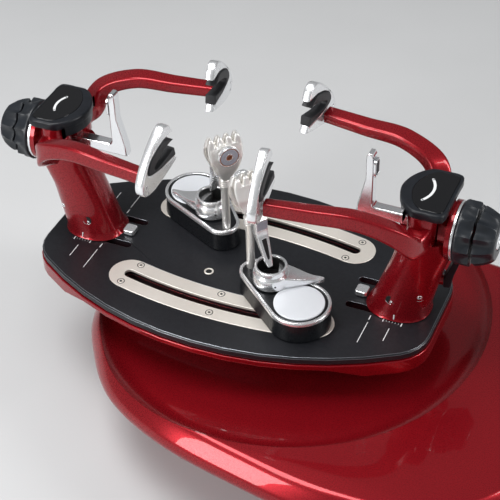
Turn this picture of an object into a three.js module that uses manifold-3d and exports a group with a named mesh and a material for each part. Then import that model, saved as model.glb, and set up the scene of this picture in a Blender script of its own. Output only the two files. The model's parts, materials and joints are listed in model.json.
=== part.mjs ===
// Racket stringing machine: a turntable on a moulded housing, with two sliding masts that
// hold the racket frame at six points and two string clamps that travel in arc slots.
// Millimetres, +Z up. Origin: on the turntable axis, at the underside of the base plate.
// +X runs from the left mast to the right mast, and the operator stands on the -Y side.

import * as THREE from 'three';
import { mergeVertices } from 'three/addons/utils/BufferGeometryUtils.js';
import Module from 'manifold-3d';

const wasm = await Module();
wasm.setup();

// General values

const fit = { seat: 0.3, run: 0.6, cutOver: 5 };
const full = Math.PI * 2;
const quarter = Math.PI / 2;
const degree = Math.PI / 180;

const housing = {
  height: 120,
  bulgeHeight: 94,
  lipHeight: 110,
  lipInset: 7,
  rimInset: 21,
  waistHeight: 62,
  skirtHeight: 28,
  leftReach: 158,
  rightReach: 392,
  frontReach: 262,
  rearReach: 160,
  leftDrop: 10,
  dropLength: 170,
  dishCentre: 57,
  dishRadius: 221,
  dishFloorRadius: 190,
  dishDepth: 24,
  dishLip: 4,
};
const pedestal = { leftReach: 52, rightReach: 342, frontReach: 156, rearReach: 120 };
const basePlate = { thickness: 6, inset: 6 };
const bearing = { radius: 62, flangeRadius: 78, flangeHeight: 7, hub: 52 };

const table = {
  halfLength: 228,
  halfWidth: 137,
  sideRadius: 375,
  cornerRadius: 45,
  plateThickness: 9,
  edgeBevel: 1.6,
  guideLength: 34,
  guideWidth: 9,
  guideOffset: 21.2,
  guideMargin: 31.3,
  deckGap: 4,
};
const tray = {
  depth: 11,
  endDepth: 22,
  endStart: 140,
  endBlend: 45,
  overhang: 1.4,
  bottomRound: 5,
};
const slot = {
  arcRadius: 540,
  centreDistance: 75.5,
  endReach: 108,
  width: 12,
  bandWidth: 46,
  plateThickness: 3,
  proud: 0.6,
  trayWidth: 18,
};

const tableTop = housing.height + table.deckGap + tray.endDepth + table.plateThickness;
const trayTop = tableTop - table.plateThickness;
const deckTop = housing.height;

const mast = {
  baseX: 182,
  baseHalfLength: 35,
  baseHalfWidth: 31,
  footHeight: 9,
  footFlare: 3,
  waistHalfLength: 28,
  waistHalfWidth: 26,
  waistHeight: 62,
  neckX: 208,
  neckHeight: 92,
  neckHalfLength: 29,
  neckHalfWidth: 30,
  shelfHeight: 111,
  webHalfWidth: 6,
  noseRadius: 21,
  flangeRadius: 31.5,
  flangeThickness: 5,
  endMargin: 46,
  keyHalfLength: 16,
  keyShift: 4,
};
const slideKey = { length: 13.5, width: 14, height: 6, corner: 2 };
const head = {
  x: 205,
  halfLength: 27.5,
  halfWidth: 38,
  thickness: 20,
  plateThickness: 9,
  top: 158,
  bevel: 2.5,
  bandWidth: 12.5,
  outerInset: 3,
  sideInset: 5,
  inlayDepth: 1.2,
};
const knob = {
  axisHeight: 116.5,
  collarRadius: 31.5,
  collarLength: 3,
  start: 237.5,
  innerRadius: 33.5,
  innerLength: 16.5,
  outerRadius: 31,
  outerEndRadius: 25,
  outerLength: 17,
  gap: 2.5,
  flutes: 8,
  fluteDepth: 3.5,
  edge: 2,
  shaftRadius: 10,
};
const support = {
  innerX: 132,
  stemX: 145,
  topHeight: 189,
  tipLength: 31,
  barBottom: 112,
  barHeight: 12,
  barWidth: 12,
  barEnd: 208,
  roomEnd: 222,
  gusset: 4,
  tipWidth: 8,
  bevel: 1,
  padThickness: 2.5,
  padHeight: 20,
};
const arm = {
  hingeX: 207,
  hingeY: 22,
  bossRadius: 15,
  bossHeight: 36.4,
  pinRadius: 4.5,
  rootWidth: 25,
  rootHeight: 25,
  middleWidth: 19,
  middleHeight: 18,
  tipWidth: 14.5,
  tipHeight: 15.5,
  tipX: 65,
  tipY: 85,
  tipZ: 158.5,
  elbowX: 193,
  elbowY: 62,
  elbowZ: 144,
  shoulderX: 158,
  shoulderY: 72,
  shoulderZ: 158.5,
  stubRadius: 4,
  stubLength: 9,
};
const holder = {
  inner: 42,
  outer: 109,
  bottom: 147,
  top: 210,
  width: 10,
  padOverhang: 1,
  yaw: 6,
  bevel: 1.3,
  padBevel: 1,
};
const lever = {
  height: 42,
  length: 32,
  thickness: 7,
  width: 12,
  turn: 12,
  reach: 9,
  bossRadius: 6,
  bossReach: 33,
};

const clampBase = {
  frontX: 94,
  rearX: 90,
  bigRadius: 34,
  smallRadius: 19,
  spacing: 69,
  height: 27,
  lift: 0.4,
  rimHeight: 5.5,
  rimWall: 4,
  topDrop: 1.5,
  discRadius: 27,
  discRise: 0.2,
  discThickness: 2.5,
  bodyInset: 1.5,
  frontAngle: 153,
  rearAngle: -38,
};
const collar = {
  distance: 45,
  radius: 19.5,
  bore: 14.5,
  lowerHeight: 14,
  upperRadius: 17.5,
  upperHeight: 8,
  leverLength: 56,
  leverRoot: 22,
  leverTip: 7,
  leverThickness: 7,
  floor: 3,
  frontLeverAngle: 226,
  rearLeverAngle: 207,
  gap: 0.5,
};
const post = {
  distance: 79,
  radius: 4.6,
  sleeveHeight: 84,
  sleeveRadius: 6.4,
  sleeveLength: 10,
};
const jaw = {
  width: 39,
  thickness: 6,
  bulge: 4.5,
  gap: 2,
  bottom: 96,
  toothBase: 141.5,
  toothTop: 150,
  toothWidth: 9,
  teeth: 4,
  frontRowAngle: 236,
  rearRowAngle: 48,
};
const dial = { radius: 12, thickness: 5, height: 132 };
const cam = {
  width: 14,
  inner: 14.5,
  outer: 25,
  top: 105,
  bottom: 88,
  tipReach: 40,
  tipHeight: 52,
  tipWidth: 6,
  tipThickness: 4,
  lugHeight: 6,
};
const foot = { length: 26, flange: 17, flangeThickness: 3.5, corner: 2.8 };

// Materials

const redPaint = new THREE.MeshStandardMaterial({ color: 0x7d0f1d, roughness: 0.22, metalness: 0.55 });
const blackPlate = new THREE.MeshStandardMaterial({ color: 0x17181b, roughness: 0.45, metalness: 0.3 });
const blackPlastic = new THREE.MeshStandardMaterial({ color: 0x1b1d21, roughness: 0.5, metalness: 0 });
const glossBlack = new THREE.MeshStandardMaterial({ color: 0x050506, roughness: 0.08, metalness: 0 });
const steel = new THREE.MeshStandardMaterial({ color: 0xbfb6ac, roughness: 0.35, metalness: 0.9 });
const satin = new THREE.MeshStandardMaterial({ color: 0xd5d8dc, roughness: 0.28, metalness: 0.85 });
const chrome = new THREE.MeshStandardMaterial({ color: 0xe8eaec, roughness: 0.08, metalness: 1 });
const rubber = new THREE.MeshStandardMaterial({ color: 0x1a1a1c, roughness: 0.8, metalness: 0 });
const discFace = new THREE.MeshStandardMaterial({ color: 0xccd3dc, roughness: 0.4, metalness: 0.5 });

// Solids and booleans

function toSolid(geometry) {
  const bare = new THREE.BufferGeometry();
  bare.setAttribute('position', geometry.getAttribute('position').clone());
  if (geometry.index) bare.setIndex(geometry.index.clone());
  const merged = mergeVertices(bare);
  return new wasm.Manifold(new wasm.Mesh({
    numProp: 3,
    vertProperties: new Float32Array(merged.getAttribute('position').array),
    triVerts: new Uint32Array(merged.index.array),
  }));
}

function toGeometry(solid) {
  const mesh = solid.getMesh();
  const geometry = new THREE.BufferGeometry();
  geometry.setAttribute('position', new THREE.BufferAttribute(new Float32Array(mesh.vertProperties), 3));
  geometry.setIndex(new THREE.BufferAttribute(new Uint32Array(mesh.triVerts), 1));
  geometry.computeVertexNormals();
  return geometry;
}

function cut(geometry, ...tools) {
  return toGeometry(tools.reduce((solid, tool) => solid.subtract(toSolid(tool)), toSolid(geometry)));
}

function join(geometry, ...others) {
  return toGeometry(others.reduce((solid, other) => solid.add(toSolid(other)), toSolid(geometry)));
}

function signedVolume(geometry) {
  const points = geometry.getAttribute('position');
  const index = geometry.index.array;
  const [a, b, c] = [new THREE.Vector3(), new THREE.Vector3(), new THREE.Vector3()];
  let volume = 0;
  for (let i = 0; i < index.length; i += 3) {
    a.fromBufferAttribute(points, index[i]);
    b.fromBufferAttribute(points, index[i + 1]);
    c.fromBufferAttribute(points, index[i + 2]);
    volume += a.dot(b.cross(c));
  }
  return volume;
}

// A loft through rings of equally many points, closed at both ends by a fan.
function loft(rings) {
  const count = rings[0].length;
  const vertices = rings.flat();
  const index = [];
  for (let r = 0; r + 1 < rings.length; r += 1) {
    for (let i = 0; i < count; i += 1) {
      const next = (i + 1) % count;
      const [a, b] = [r * count + i, r * count + next];
      index.push(a, b, a + count, b, b + count, a + count);
    }
  }
  const ends = [rings[0], rings[rings.length - 1]];
  ends.forEach((ring, end) => {
    const centre = ring.reduce((sum, p) => sum.add(p), new THREE.Vector3()).divideScalar(count);
    const first = end * (rings.length - 1) * count;
    vertices.push(centre);
    for (let i = 0; i < count; i += 1) {
      const [a, b] = [first + i, first + (i + 1) % count];
      if (end) index.push(a, b, vertices.length - 1);
      else index.push(b, a, vertices.length - 1);
    }
  });
  const geometry = new THREE.BufferGeometry();
  const numbers = vertices.flatMap((p) => [p.x, p.y, p.z]);
  geometry.setAttribute('position', new THREE.Float32BufferAttribute(numbers, 3));
  geometry.setIndex(index);
  if (signedVolume(geometry) < 0) {
    for (let i = 0; i < index.length; i += 3) [index[i], index[i + 1]] = [index[i + 1], index[i]];
    geometry.setIndex(index);
  }
  geometry.computeVertexNormals();
  return geometry;
}

// Turned pieces about Z. The profile is a list of [radius, height] pairs, closed through the axis or on itself.
function turned(profile, segments = 24) {
  const points = profile.map(([r, z]) => new THREE.Vector2(r, z));
  const geometry = new THREE.LatheGeometry(points, segments);
  geometry.rotateX(quarter);
  return orient(geometry);
}

function orient(geometry) {
  const bare = new THREE.BufferGeometry();
  bare.setAttribute('position', geometry.getAttribute('position').clone());
  if (geometry.index) bare.setIndex(geometry.index.clone());
  const merged = mergeVertices(bare);
  const keep = [];
  const source = merged.index.array;
  for (let i = 0; i < source.length; i += 3) {
    const [a, b, c] = [source[i], source[i + 1], source[i + 2]];
    if (a !== b && b !== c && a !== c) keep.push(a, b, c);
  }
  merged.setIndex(keep);
  if (signedVolume(merged) < 0) {
    for (let i = 0; i < keep.length; i += 3) [keep[i], keep[i + 1]] = [keep[i + 1], keep[i]];
    merged.setIndex(keep);
  }
  merged.computeVertexNormals();
  return merged;
}

function disc(radius, bottom, top, segments = 24) {
  return turned([[0, bottom], [radius, bottom], [radius, top], [0, top]], segments);
}

function box(x, y, z, width, depth, height) {
  return new THREE.BoxGeometry(width, depth, height).translate(x, y, z);
}

// A flat piece from an outline, standing on bottom, with an even bevel on both faces.
function slab(points, bottom, top, bevel = 0, holes = []) {
  const shape = new THREE.Shape(points);
  holes.forEach((hole) => shape.holes.push(new THREE.Path(hole)));
  const geometry = new THREE.ExtrudeGeometry(shape, {
    depth: top - bottom - bevel * 2,
    bevelEnabled: bevel > 0,
    bevelThickness: bevel,
    bevelSize: bevel,
    bevelOffset: -bevel,
    bevelSegments: 1,
    curveSegments: 12,
  });
  geometry.translate(0, 0, bottom + bevel);
  return orient(geometry);
}

function arcPoints(x, y, radius, from, to, steps) {
  const points = [];
  for (let i = 0; i <= steps; i += 1) {
    const angle = from + (to - from) * i / steps;
    points.push(new THREE.Vector2(x + radius * Math.cos(angle), y + radius * Math.sin(angle)));
  }
  return points;
}

function roundedRect(halfLength, halfWidth, radius, steps = 3) {
  const [x, y] = [halfLength - radius, halfWidth - radius];
  return [
    ...arcPoints(x, y, radius, 0, quarter, steps),
    ...arcPoints(-x, y, radius, quarter, quarter * 2, steps),
    ...arcPoints(-x, -y, radius, quarter * 2, quarter * 3, steps),
    ...arcPoints(x, -y, radius, quarter * 3, full, steps),
  ];
}

// A barrel outline: straight ends, rounded corners and long sides of one large radius.
function barrelOutline(inset) {
  const length = table.halfLength - inset;
  const side = table.sideRadius - inset;
  const corner = table.cornerRadius - inset;
  const sideCentre = table.halfWidth - table.sideRadius;
  const cornerX = length - corner;
  const cornerY = sideCentre + Math.sqrt((side - corner) ** 2 - cornerX ** 2);
  const turn = Math.atan2(cornerY - sideCentre, cornerX);
  return [
    ...arcPoints(cornerX, cornerY, corner, 0, turn, 4),
    ...arcPoints(0, sideCentre, side, turn, quarter * 2 - turn, 12).slice(1, -1),
    ...arcPoints(-cornerX, cornerY, corner, quarter * 2 - turn, quarter * 2, 4),
    ...arcPoints(-cornerX, -cornerY, corner, quarter * 2, quarter * 2 + turn, 4),
    ...arcPoints(0, -sideCentre, side, quarter * 2 + turn, full - turn, 12).slice(1, -1),
    ...arcPoints(cornerX, -cornerY, corner, full - turn, full, 4),
  ];
}

// An arc band round the slot's centre line, for the front slot; side is 1 for the rear one.
function slotBand(width, side) {
  const centre = slot.arcRadius - slot.centreDistance;
  const half = Math.asin(slot.endReach / slot.arcRadius);
  const middle = side * quarter;
  const from = middle - half;
  const to = middle + half;
  const y = -side * centre;
  const end = (angle) => [slot.arcRadius * Math.cos(angle), y + slot.arcRadius * Math.sin(angle)];
  return [
    ...arcPoints(0, y, slot.arcRadius + width / 2, from, to, 8),
    ...arcPoints(...end(to), width / 2, to, to + quarter * 2, 6).slice(1, -1),
    ...arcPoints(0, y, slot.arcRadius - width / 2, to, from, 8),
    ...arcPoints(...end(from), width / 2, from + quarter * 2, from + full, 6).slice(1, -1),
  ];
}

function smooth(value) {
  const t = Math.min(1, Math.max(0, value));
  return t * t * (3 - 2 * t);
}

const group = new THREE.Group();

function add(name, geometry, material, parent = group) {
  const mesh = new THREE.Mesh(geometry, material);
  mesh.name = name;
  parent.add(mesh);
  return mesh;
}

// Housing

// Plan of the housing's widest line, as shares of its reach to each side.
const housingPlanShares = [
  [-1.0, 0.1], [-0.97, -0.3], [-0.79, -0.5], [-0.49, -0.71], [-0.04, -0.86], [0.23, -0.95],
  [0.51, -1.0], [0.77, -0.93], [0.95, -0.66], [1.0, -0.25], [0.97, 0.35], [0.84, 0.85],
  [0.6, 0.99], [0.25, 1.0], [-0.25, 0.92], [-0.8, 0.62],
];

// The plan tapers from the widest line (0) to the pedestal it stands on (1).
function housingPlan(taper) {
  const reach = (side) => housing[side] + (pedestal[side] - housing[side]) * taper;
  const points = housingPlanShares.map(([x, y]) => new THREE.Vector3(
    x * (x < 0 ? reach('leftReach') : reach('rightReach')),
    y * (y < 0 ? reach('frontReach') : reach('rearReach')),
    0,
  ));
  return new THREE.CatmullRomCurve3(points, true, 'centripetal').getSpacedPoints(48).slice(0, -1);
}

function insetRing(plan, inset, height) {
  return plan.map((p, i) => {
    const before = plan[(i + plan.length - 1) % plan.length];
    const after = plan[(i + 1) % plan.length];
    const along = new THREE.Vector2(after.x - before.x, after.y - before.y).normalize();
    const level = typeof height === 'function' ? height(p) : height;
    return new THREE.Vector3(p.x - along.y * inset, p.y + along.x * inset, level);
  });
}

// Where the bowl's round wall is given its points, in degrees up from its floor.
const bowlAngles = [36, 66];

const taperShares = { waist: 0.38, skirt: 0.8 };

function buildHousing() {
  const widest = housingPlan(0);
  const drop = (p) => housing.leftDrop * (1 - smooth((p.x + housing.leftReach) / housing.dropLength));
  const body = loft([
    insetRing(housingPlan(1), 0, basePlate.thickness + fit.seat),
    insetRing(housingPlan(taperShares.skirt), 0, housing.skirtHeight),
    insetRing(housingPlan(taperShares.waist), 0, housing.waistHeight),
    insetRing(widest, 0, (p) => housing.bulgeHeight - drop(p)),
    insetRing(widest, housing.lipInset, (p) => housing.lipHeight - drop(p)),
    insetRing(widest, housing.rimInset, (p) => housing.height - drop(p)),
  ]);
  const floor = deckTop - housing.dishDepth;
  const dish = turned([
    [0, floor],
    [housing.dishFloorRadius, floor],
    ...bowlAngles.map((angle) => [
      housing.dishFloorRadius + (housing.dishRadius - housing.dishFloorRadius) * Math.sin(angle * degree),
      floor + housing.dishDepth * (1 - Math.cos(angle * degree)),
    ]),
    [housing.dishRadius, deckTop],
    [housing.dishRadius + housing.dishLip, deckTop + fit.cutOver],
    [0, deckTop + fit.cutOver],
  ], 40).translate(housing.dishCentre, 0, 0);
  add('housing_body', cut(body, dish), redPaint);
  const plate = insetRing(housingPlan(1), basePlate.inset, 0).filter((p, i) => i % 2 === 0)
    .map((p) => new THREE.Vector2(p.x, p.y));
  add('base_plate', slab(plate, 0, basePlate.thickness), blackPlate);
}

function buildBearing() {
  const floor = deckTop - housing.dishDepth;
  const seat = floor + fit.seat;
  const flangeTop = seat + bearing.flangeHeight;
  const top = trayTop - tray.depth;
  const middle = (flangeTop + top) / 2;
  const lower = turned([
    [0, seat], [bearing.flangeRadius, seat], [bearing.flangeRadius, flangeTop],
    [bearing.radius, flangeTop], [bearing.radius, middle], [0, middle],
  ]);
  add('bearing_ring_fixed', lower, steel);
  const upper = turned([
    [0, middle + fit.run], [bearing.hub, middle + fit.run], [bearing.radius, middle + fit.run + bearing.flangeHeight],
    [bearing.radius, top - fit.seat], [0, top - fit.seat],
  ]);
  add('turntable_hub', upper, blackPlate);
}

// Turntable

function buildTray() {
  const outline = barrelOutline(-tray.overhang);
  const depthAt = (x) => tray.depth
    + (tray.endDepth - tray.depth) * smooth((Math.abs(x) - tray.endStart) / tray.endBlend);
  const lowered = barrelOutline(-tray.overhang + tray.bottomRound);
  const at = (points, level) => points.map((p) => new THREE.Vector3(p.x, p.y, level(p)));
  const body = loft([
    at(lowered, (p) => trayTop - depthAt(p.x)),
    at(outline, (p) => trayTop - depthAt(p.x) + tray.bottomRound),
    at(outline, () => trayTop - fit.seat),
  ]);
  const [low, high] = [tableTop - tray.endDepth * 2, tableTop];
  const slots = [-1, 1].map((side) => slab(slotBand(slot.trayWidth, side), low, high));
  const hubRoom = disc(bearing.radius + fit.run, low, trayTop - tray.depth);
  add('turntable_tray', cut(body, hubRoom, ...slots), redPaint);
}

function guideHoles() {
  const holes = [];
  [-1, 1].forEach((sideX) => [-1, 1].forEach((sideY) => {
    const middle = table.halfLength - table.guideMargin - table.guideLength;
    const outline = roundedRect(table.guideLength, table.guideWidth / 2, table.guideWidth / 2 - fit.seat);
    holes.push(outline.map((p) => new THREE.Vector2(p.x + sideX * middle, p.y + sideY * table.guideOffset)));
  }));
  return holes;
}

function buildTopPlate() {
  const slots = [-1, 1].map((side) => slotBand(slot.trayWidth, side));
  const body = slab(barrelOutline(0), trayTop, tableTop, table.edgeBevel);
  const [low, high] = [trayTop - fit.cutOver, tableTop + fit.cutOver];
  const pocketFloor = tableTop - slot.plateThickness + slot.proud - fit.seat;
  const tools = [
    ...slots.map((outline) => slab(outline, low, high)),
    ...[-1, 1].map((side) => slab(slotBand(slot.bandWidth + fit.seat * 2, side), pocketFloor, high)),
    ...guideHoles().map((outline) => slab(outline, low, high)),
  ];
  add('top_plate', cut(body, ...tools), blackPlate);
  [['slot_plate_front', -1], ['slot_plate_rear', 1]].forEach(([name, side]) => {
    const bottom = tableTop + slot.proud - slot.plateThickness;
    const outer = slab(slotBand(slot.bandWidth, side), bottom, tableTop + slot.proud);
    const inner = slab(slotBand(slot.width, side), bottom - fit.cutOver, tableTop + fit.cutOver);
    add(name, cut(outer, inner), steel);
  });
}

// Masts. Each is modelled as the right one, and the left one is the same piece turned half round.

function ellipseRing(x, y, z, halfLength, halfWidth, power = 2.3, steps = 20) {
  const points = [];
  for (let i = 0; i < steps; i += 1) {
    const angle = full * i / steps;
    const [c, s] = [Math.cos(angle), Math.sin(angle)];
    const px = Math.sign(c) * Math.abs(c) ** (2 / power);
    const py = Math.sign(s) * Math.abs(s) ** (2 / power);
    points.push(new THREE.Vector3(x + halfLength * px, y + halfWidth * py, z));
  }
  return points;
}

// A straight round piece along X.
function rod(radius, from, to, y, z, segments = 20) {
  return disc(radius, from, to, segments).rotateY(quarter).translate(0, y, z);
}

// A mast's place follows the end of the table.
const mastShift = table.halfLength - mast.endMargin - mast.baseX;

function mastAxis(height) {
  return mast.baseX + (mast.neckX - mast.baseX) * Math.min(1, height / mast.neckHeight);
}

const coverBottom = head.top - head.thickness;
// The cover's deep skirt ends just inside the arms' bosses.
const skirtEnd = arm.hingeX - arm.bossRadius - fit.run * 2;
const knobStart = knob.start + knob.collarLength + fit.run;
const knobInnerEnd = knobStart + knob.innerLength;
const knobOuterEnd = knobInnerEnd + knob.gap + knob.outerLength;

function buildMastColumn(parent, name, hand) {
  const z = (height) => tableTop + height;
  const shelf = mast.shelfHeight;
  const level = (height, halfLength, halfWidth) => ellipseRing(
    mastAxis(height), 0, z(height), halfLength, halfWidth);
  const column = loft([
    level(slot.proud + fit.seat, mast.baseHalfLength, mast.baseHalfWidth),
    level(mast.footHeight, mast.baseHalfLength - mast.footFlare, mast.baseHalfWidth - mast.footFlare),
    level(mast.waistHeight, mast.waistHalfLength, mast.waistHalfWidth),
    level(mast.neckHeight, mast.neckHalfLength, mast.neckHalfWidth),
    level(shelf, mast.neckHalfLength, mast.neckHalfWidth),
  ]);
  const webTop = head.top - head.plateThickness - fit.seat;
  const webStart = skirtEnd + fit.run;
  const webEnd = knob.start - mast.flangeThickness;
  const web = box(
    (webStart + webEnd) / 2, 0, z((shelf - fit.cutOver + webTop) / 2),
    webEnd - webStart, mast.webHalfWidth * 2, webTop - shelf + fit.cutOver,
  );
  const nose = rod(mast.noseRadius, head.x, knob.start - mast.flangeThickness / 2, 0, z(knob.axisHeight), 12);
  const bossRoom = [-1, 1].map((side) => disc(arm.bossRadius + fit.run * 2, z(shelf), z(head.top), 16)
    .translate(arm.hingeX, side * arm.hingeY, 0));
  const noseTop = box(head.x, 0, z(coverBottom - fit.seat + head.thickness), mast.neckHalfLength * 4,
    mast.neckHalfWidth * 4, head.thickness * 2);
  const flange = rod(mast.flangeRadius, knob.start - mast.flangeThickness, knob.start, 0,
    z(knob.axisHeight), 24);
  const shaft = rod(knob.shaftRadius, head.x, knobOuterEnd, 0, z(knob.axisHeight), 12);
  const pins = [-1, 1].map((side) => disc(arm.pinRadius, z(shelf - fit.cutOver), z(webTop), 10)
    .translate(arm.hingeX, side * arm.hingeY, 0));
  const barLow = support.barBottom - fit.run;
  const barRoom = box(
    (support.innerX + support.roomEnd) / 2, 0, z(barLow + support.barHeight / 2 + fit.run),
    support.roomEnd - support.innerX, support.barWidth + fit.run * 2, support.barHeight + fit.run * 2,
  );
  const keys = [-1, 1].map((side) => slab(
    roundedRect(mast.keyHalfLength, table.guideWidth / 2 - fit.run, fit.run, 1),
    trayTop + fit.seat, tableTop + mast.footHeight / 2,
  ).translate(mast.baseX - mast.keyShift, side * table.guideOffset, 0));
  const leverBoss = placeLever(rod(lever.bossRadius, 0, lever.bossReach, 0, 0, 12), hand);
  const whole = join(column, cut(nose, ...bossRoom, noseTop), flange, shaft, leverBoss, ...keys);
  add(name, cut(join(cut(whole, ...bossRoom), web, ...pins), barRoom), redPaint, parent);
}

// Half of the cover's outline, as shares of its half length and half width, from the straight
// outer side round the corner and the flat end to the round inner side.
const coverShares = [
  [1, 0], [1, 0.45], [1, 0.8], [0.93, 0.95], [0.75, 1], [0.3, 1], [-0.18, 0.98], [-0.58, 0.76], [-0.88, 0.4],
  [-1, 0],
];

function coverOutline(halfLength, halfWidth, shift = 0) {
  const mirrored = coverShares.slice(1, -1).reverse().map(([x, y]) => [x, -y]);
  const points = [...coverShares, ...mirrored].map(([x, y]) => new THREE.Vector3(
    x * halfLength + shift, y * halfWidth, 0));
  return new THREE.CatmullRomCurve3(points, true, 'centripetal').getSpacedPoints(32).slice(0, -1);
}

// The cover is a plate with a deeper skirt on its inner side, in front of the arms' bosses.
function buildCover(parent, name, inlayName) {
  const at = (inset, height) => coverOutline(head.halfLength - inset, head.halfWidth - inset)
    .map((p) => new THREE.Vector3(p.x + head.x, p.y, tableTop + height));
  const plateBottom = head.top - head.plateThickness;
  const plate = loft([
    at(fit.run, plateBottom),
    at(0, plateBottom + head.bevel / 2),
    at(0, head.top - head.bevel),
    at(head.bevel, head.top),
  ]);
  const skirt = loft([at(head.bevel, coverBottom), at(head.bevel / 2, plateBottom + head.bevel)]);
  const behind = box(
    skirtEnd + head.halfLength * 2, 0, tableTop + coverBottom,
    head.halfLength * 4, head.halfWidth * 4, (head.thickness - head.plateThickness + fit.run) * 2,
  );
  const inlayLength = head.halfLength - (head.bandWidth + head.outerInset) / 2;
  const inlayShift = (head.bandWidth - head.outerInset) / 2;
  const flat = (gap) => coverOutline(inlayLength + gap, head.halfWidth - head.sideInset + gap, inlayShift)
    .map((p) => new THREE.Vector2(p.x, p.y));
  const bed = slab(flat(fit.seat), head.top - head.inlayDepth - fit.seat, head.top + fit.cutOver)
    .translate(head.x, 0, tableTop);
  add(name, cut(join(plate, cut(skirt, behind)), bed), blackPlastic, parent);
  const inlay = slab(flat(0), head.top - head.inlayDepth, head.top + fit.seat).translate(head.x, 0, tableTop);
  add(inlayName, inlay, glossBlack, parent);
}

// A ring of points with evenly spaced scoops that meet in sharp ridges.
function flutedRing(radius, depth, along) {
  const points = [];
  const steps = knob.flutes * 4;
  for (let i = 0; i < steps; i += 1) {
    const angle = full * i / steps;
    const r = radius - depth * Math.abs(Math.sin(angle * knob.flutes / 2));
    points.push(new THREE.Vector3(along, r * Math.cos(angle), r * Math.sin(angle)));
  }
  return points;
}

function buildKnobs(parent, side) {
  const z = tableTop + knob.axisHeight;
  const collarPiece = rod(knob.collarRadius, knob.start + fit.seat, knob.start + knob.collarLength, 0, z, 24);
  const bore = rod(knob.shaftRadius + fit.run, knob.start - fit.cutOver, knobOuterEnd + fit.cutOver, 0, z, 12);
  add(`${side}_knob_collar`, cut(collarPiece, bore), satin, parent);
  const inner = loft([
    flutedRing(knob.innerRadius - knob.edge, 0, knobStart),
    flutedRing(knob.innerRadius, knob.fluteDepth, knobInnerEnd - knob.edge),
    flutedRing(knob.innerRadius - knob.edge, knob.fluteDepth, knobInnerEnd),
  ]).translate(0, 0, z);
  add(`${side}_knob_inner`, cut(inner, bore), blackPlastic, parent);
  const start = knobInnerEnd + knob.gap;
  const outer = loft([
    flutedRing(knob.outerRadius - knob.edge, knob.fluteDepth / 2, start),
    flutedRing(knob.outerRadius, knob.fluteDepth, start + knob.edge),
    flutedRing(knob.outerEndRadius, knob.fluteDepth, knobOuterEnd),
    flutedRing(knob.outerEndRadius - knob.edge * 2, 0, knobOuterEnd + knob.edge * 2),
  ]).translate(0, 0, z);
  const blind = rod(knob.shaftRadius + fit.run, start - fit.cutOver, knobOuterEnd + fit.run, 0, z, 12);
  add(`${side}_knob_outer`, cut(outer, blind), blackPlastic, parent);
}

function buildSupport(parent, side) {
  const barTop = support.barBottom + support.barHeight;
  const step = support.topHeight - support.tipLength;
  const tipHalf = support.tipWidth / 2;
  const tipOuter = support.stemX + tipHalf;
  const tipInner = tipOuter - support.tipWidth;
  const profile = [
    [support.innerX, support.barBottom],
    [support.barEnd, support.barBottom],
    [support.barEnd, barTop],
    ...arcPoints(tipOuter + support.gusset, barTop + support.gusset, support.gusset, quarter * 3, quarter * 2, 3)
      .map((p) => [p.x, p.y]),
    [tipOuter, support.topHeight - tipHalf],
    [support.stemX + tipHalf / 2, support.topHeight],
    [support.stemX - tipHalf / 2, support.topHeight],
    [tipInner, support.topHeight - tipHalf],
    [tipInner, step],
    [support.innerX + support.bevel, barTop],
  ].map(([x, z]) => new THREE.Vector2(x, z));
  const half = support.barWidth / 2;
  const body = slab(profile, -half, half, support.bevel).rotateX(quarter).translate(0, 0, tableTop);
  add(`${side}_inner_support`, body, chrome, parent);
  const padX = support.stemX + support.tipWidth / 2 + fit.seat;
  const padTop = support.topHeight - support.tipWidth;
  const pad = slab(roundedRect(support.padHeight / 2, half, half / 2, 1), 0, support.padThickness, support.bevel / 2)
    .rotateY(quarter).translate(padX, 0, tableTop + padTop - support.padHeight / 2);
  add(`${side}_support_pad`, pad, rubber, parent);
}

// Arms. Each is modelled on the +Y side of the right mast and mirrored for the other side.

// The arm's section as shares of its half width and half height: a tall outer face, a lower
// inner face, and a top and a bottom that slope towards the inner side.
const armSectionShares = [
  [1, -0.8], [1, 0.8], [0.8, 1], [-0.8, 0.78], [-1, 0.56], [-1, -0.6], [-0.8, -0.8], [0.8, -1],
];

function armSection(centre, along, width, height) {
  const outward = new THREE.Vector3(along.y, -along.x, 0).normalize();
  const upward = new THREE.Vector3().crossVectors(along, outward).normalize();
  if (upward.z < 0) upward.negate();
  return armSectionShares.map(([x, y]) => centre.clone()
    .addScaledVector(outward, x * width / 2).addScaledVector(upward, y * height / 2));
}

// The arm slims quickly from its root to this share of its length, and evenly from there to the tip.
const armMiddleShare = 0.5;

function armSize(root, middle, tip, u) {
  if (u < armMiddleShare) return root + (middle - root) * smooth(u / armMiddleShare);
  return middle + (tip - middle) * (u - armMiddleShare) / (1 - armMiddleShare);
}

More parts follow.
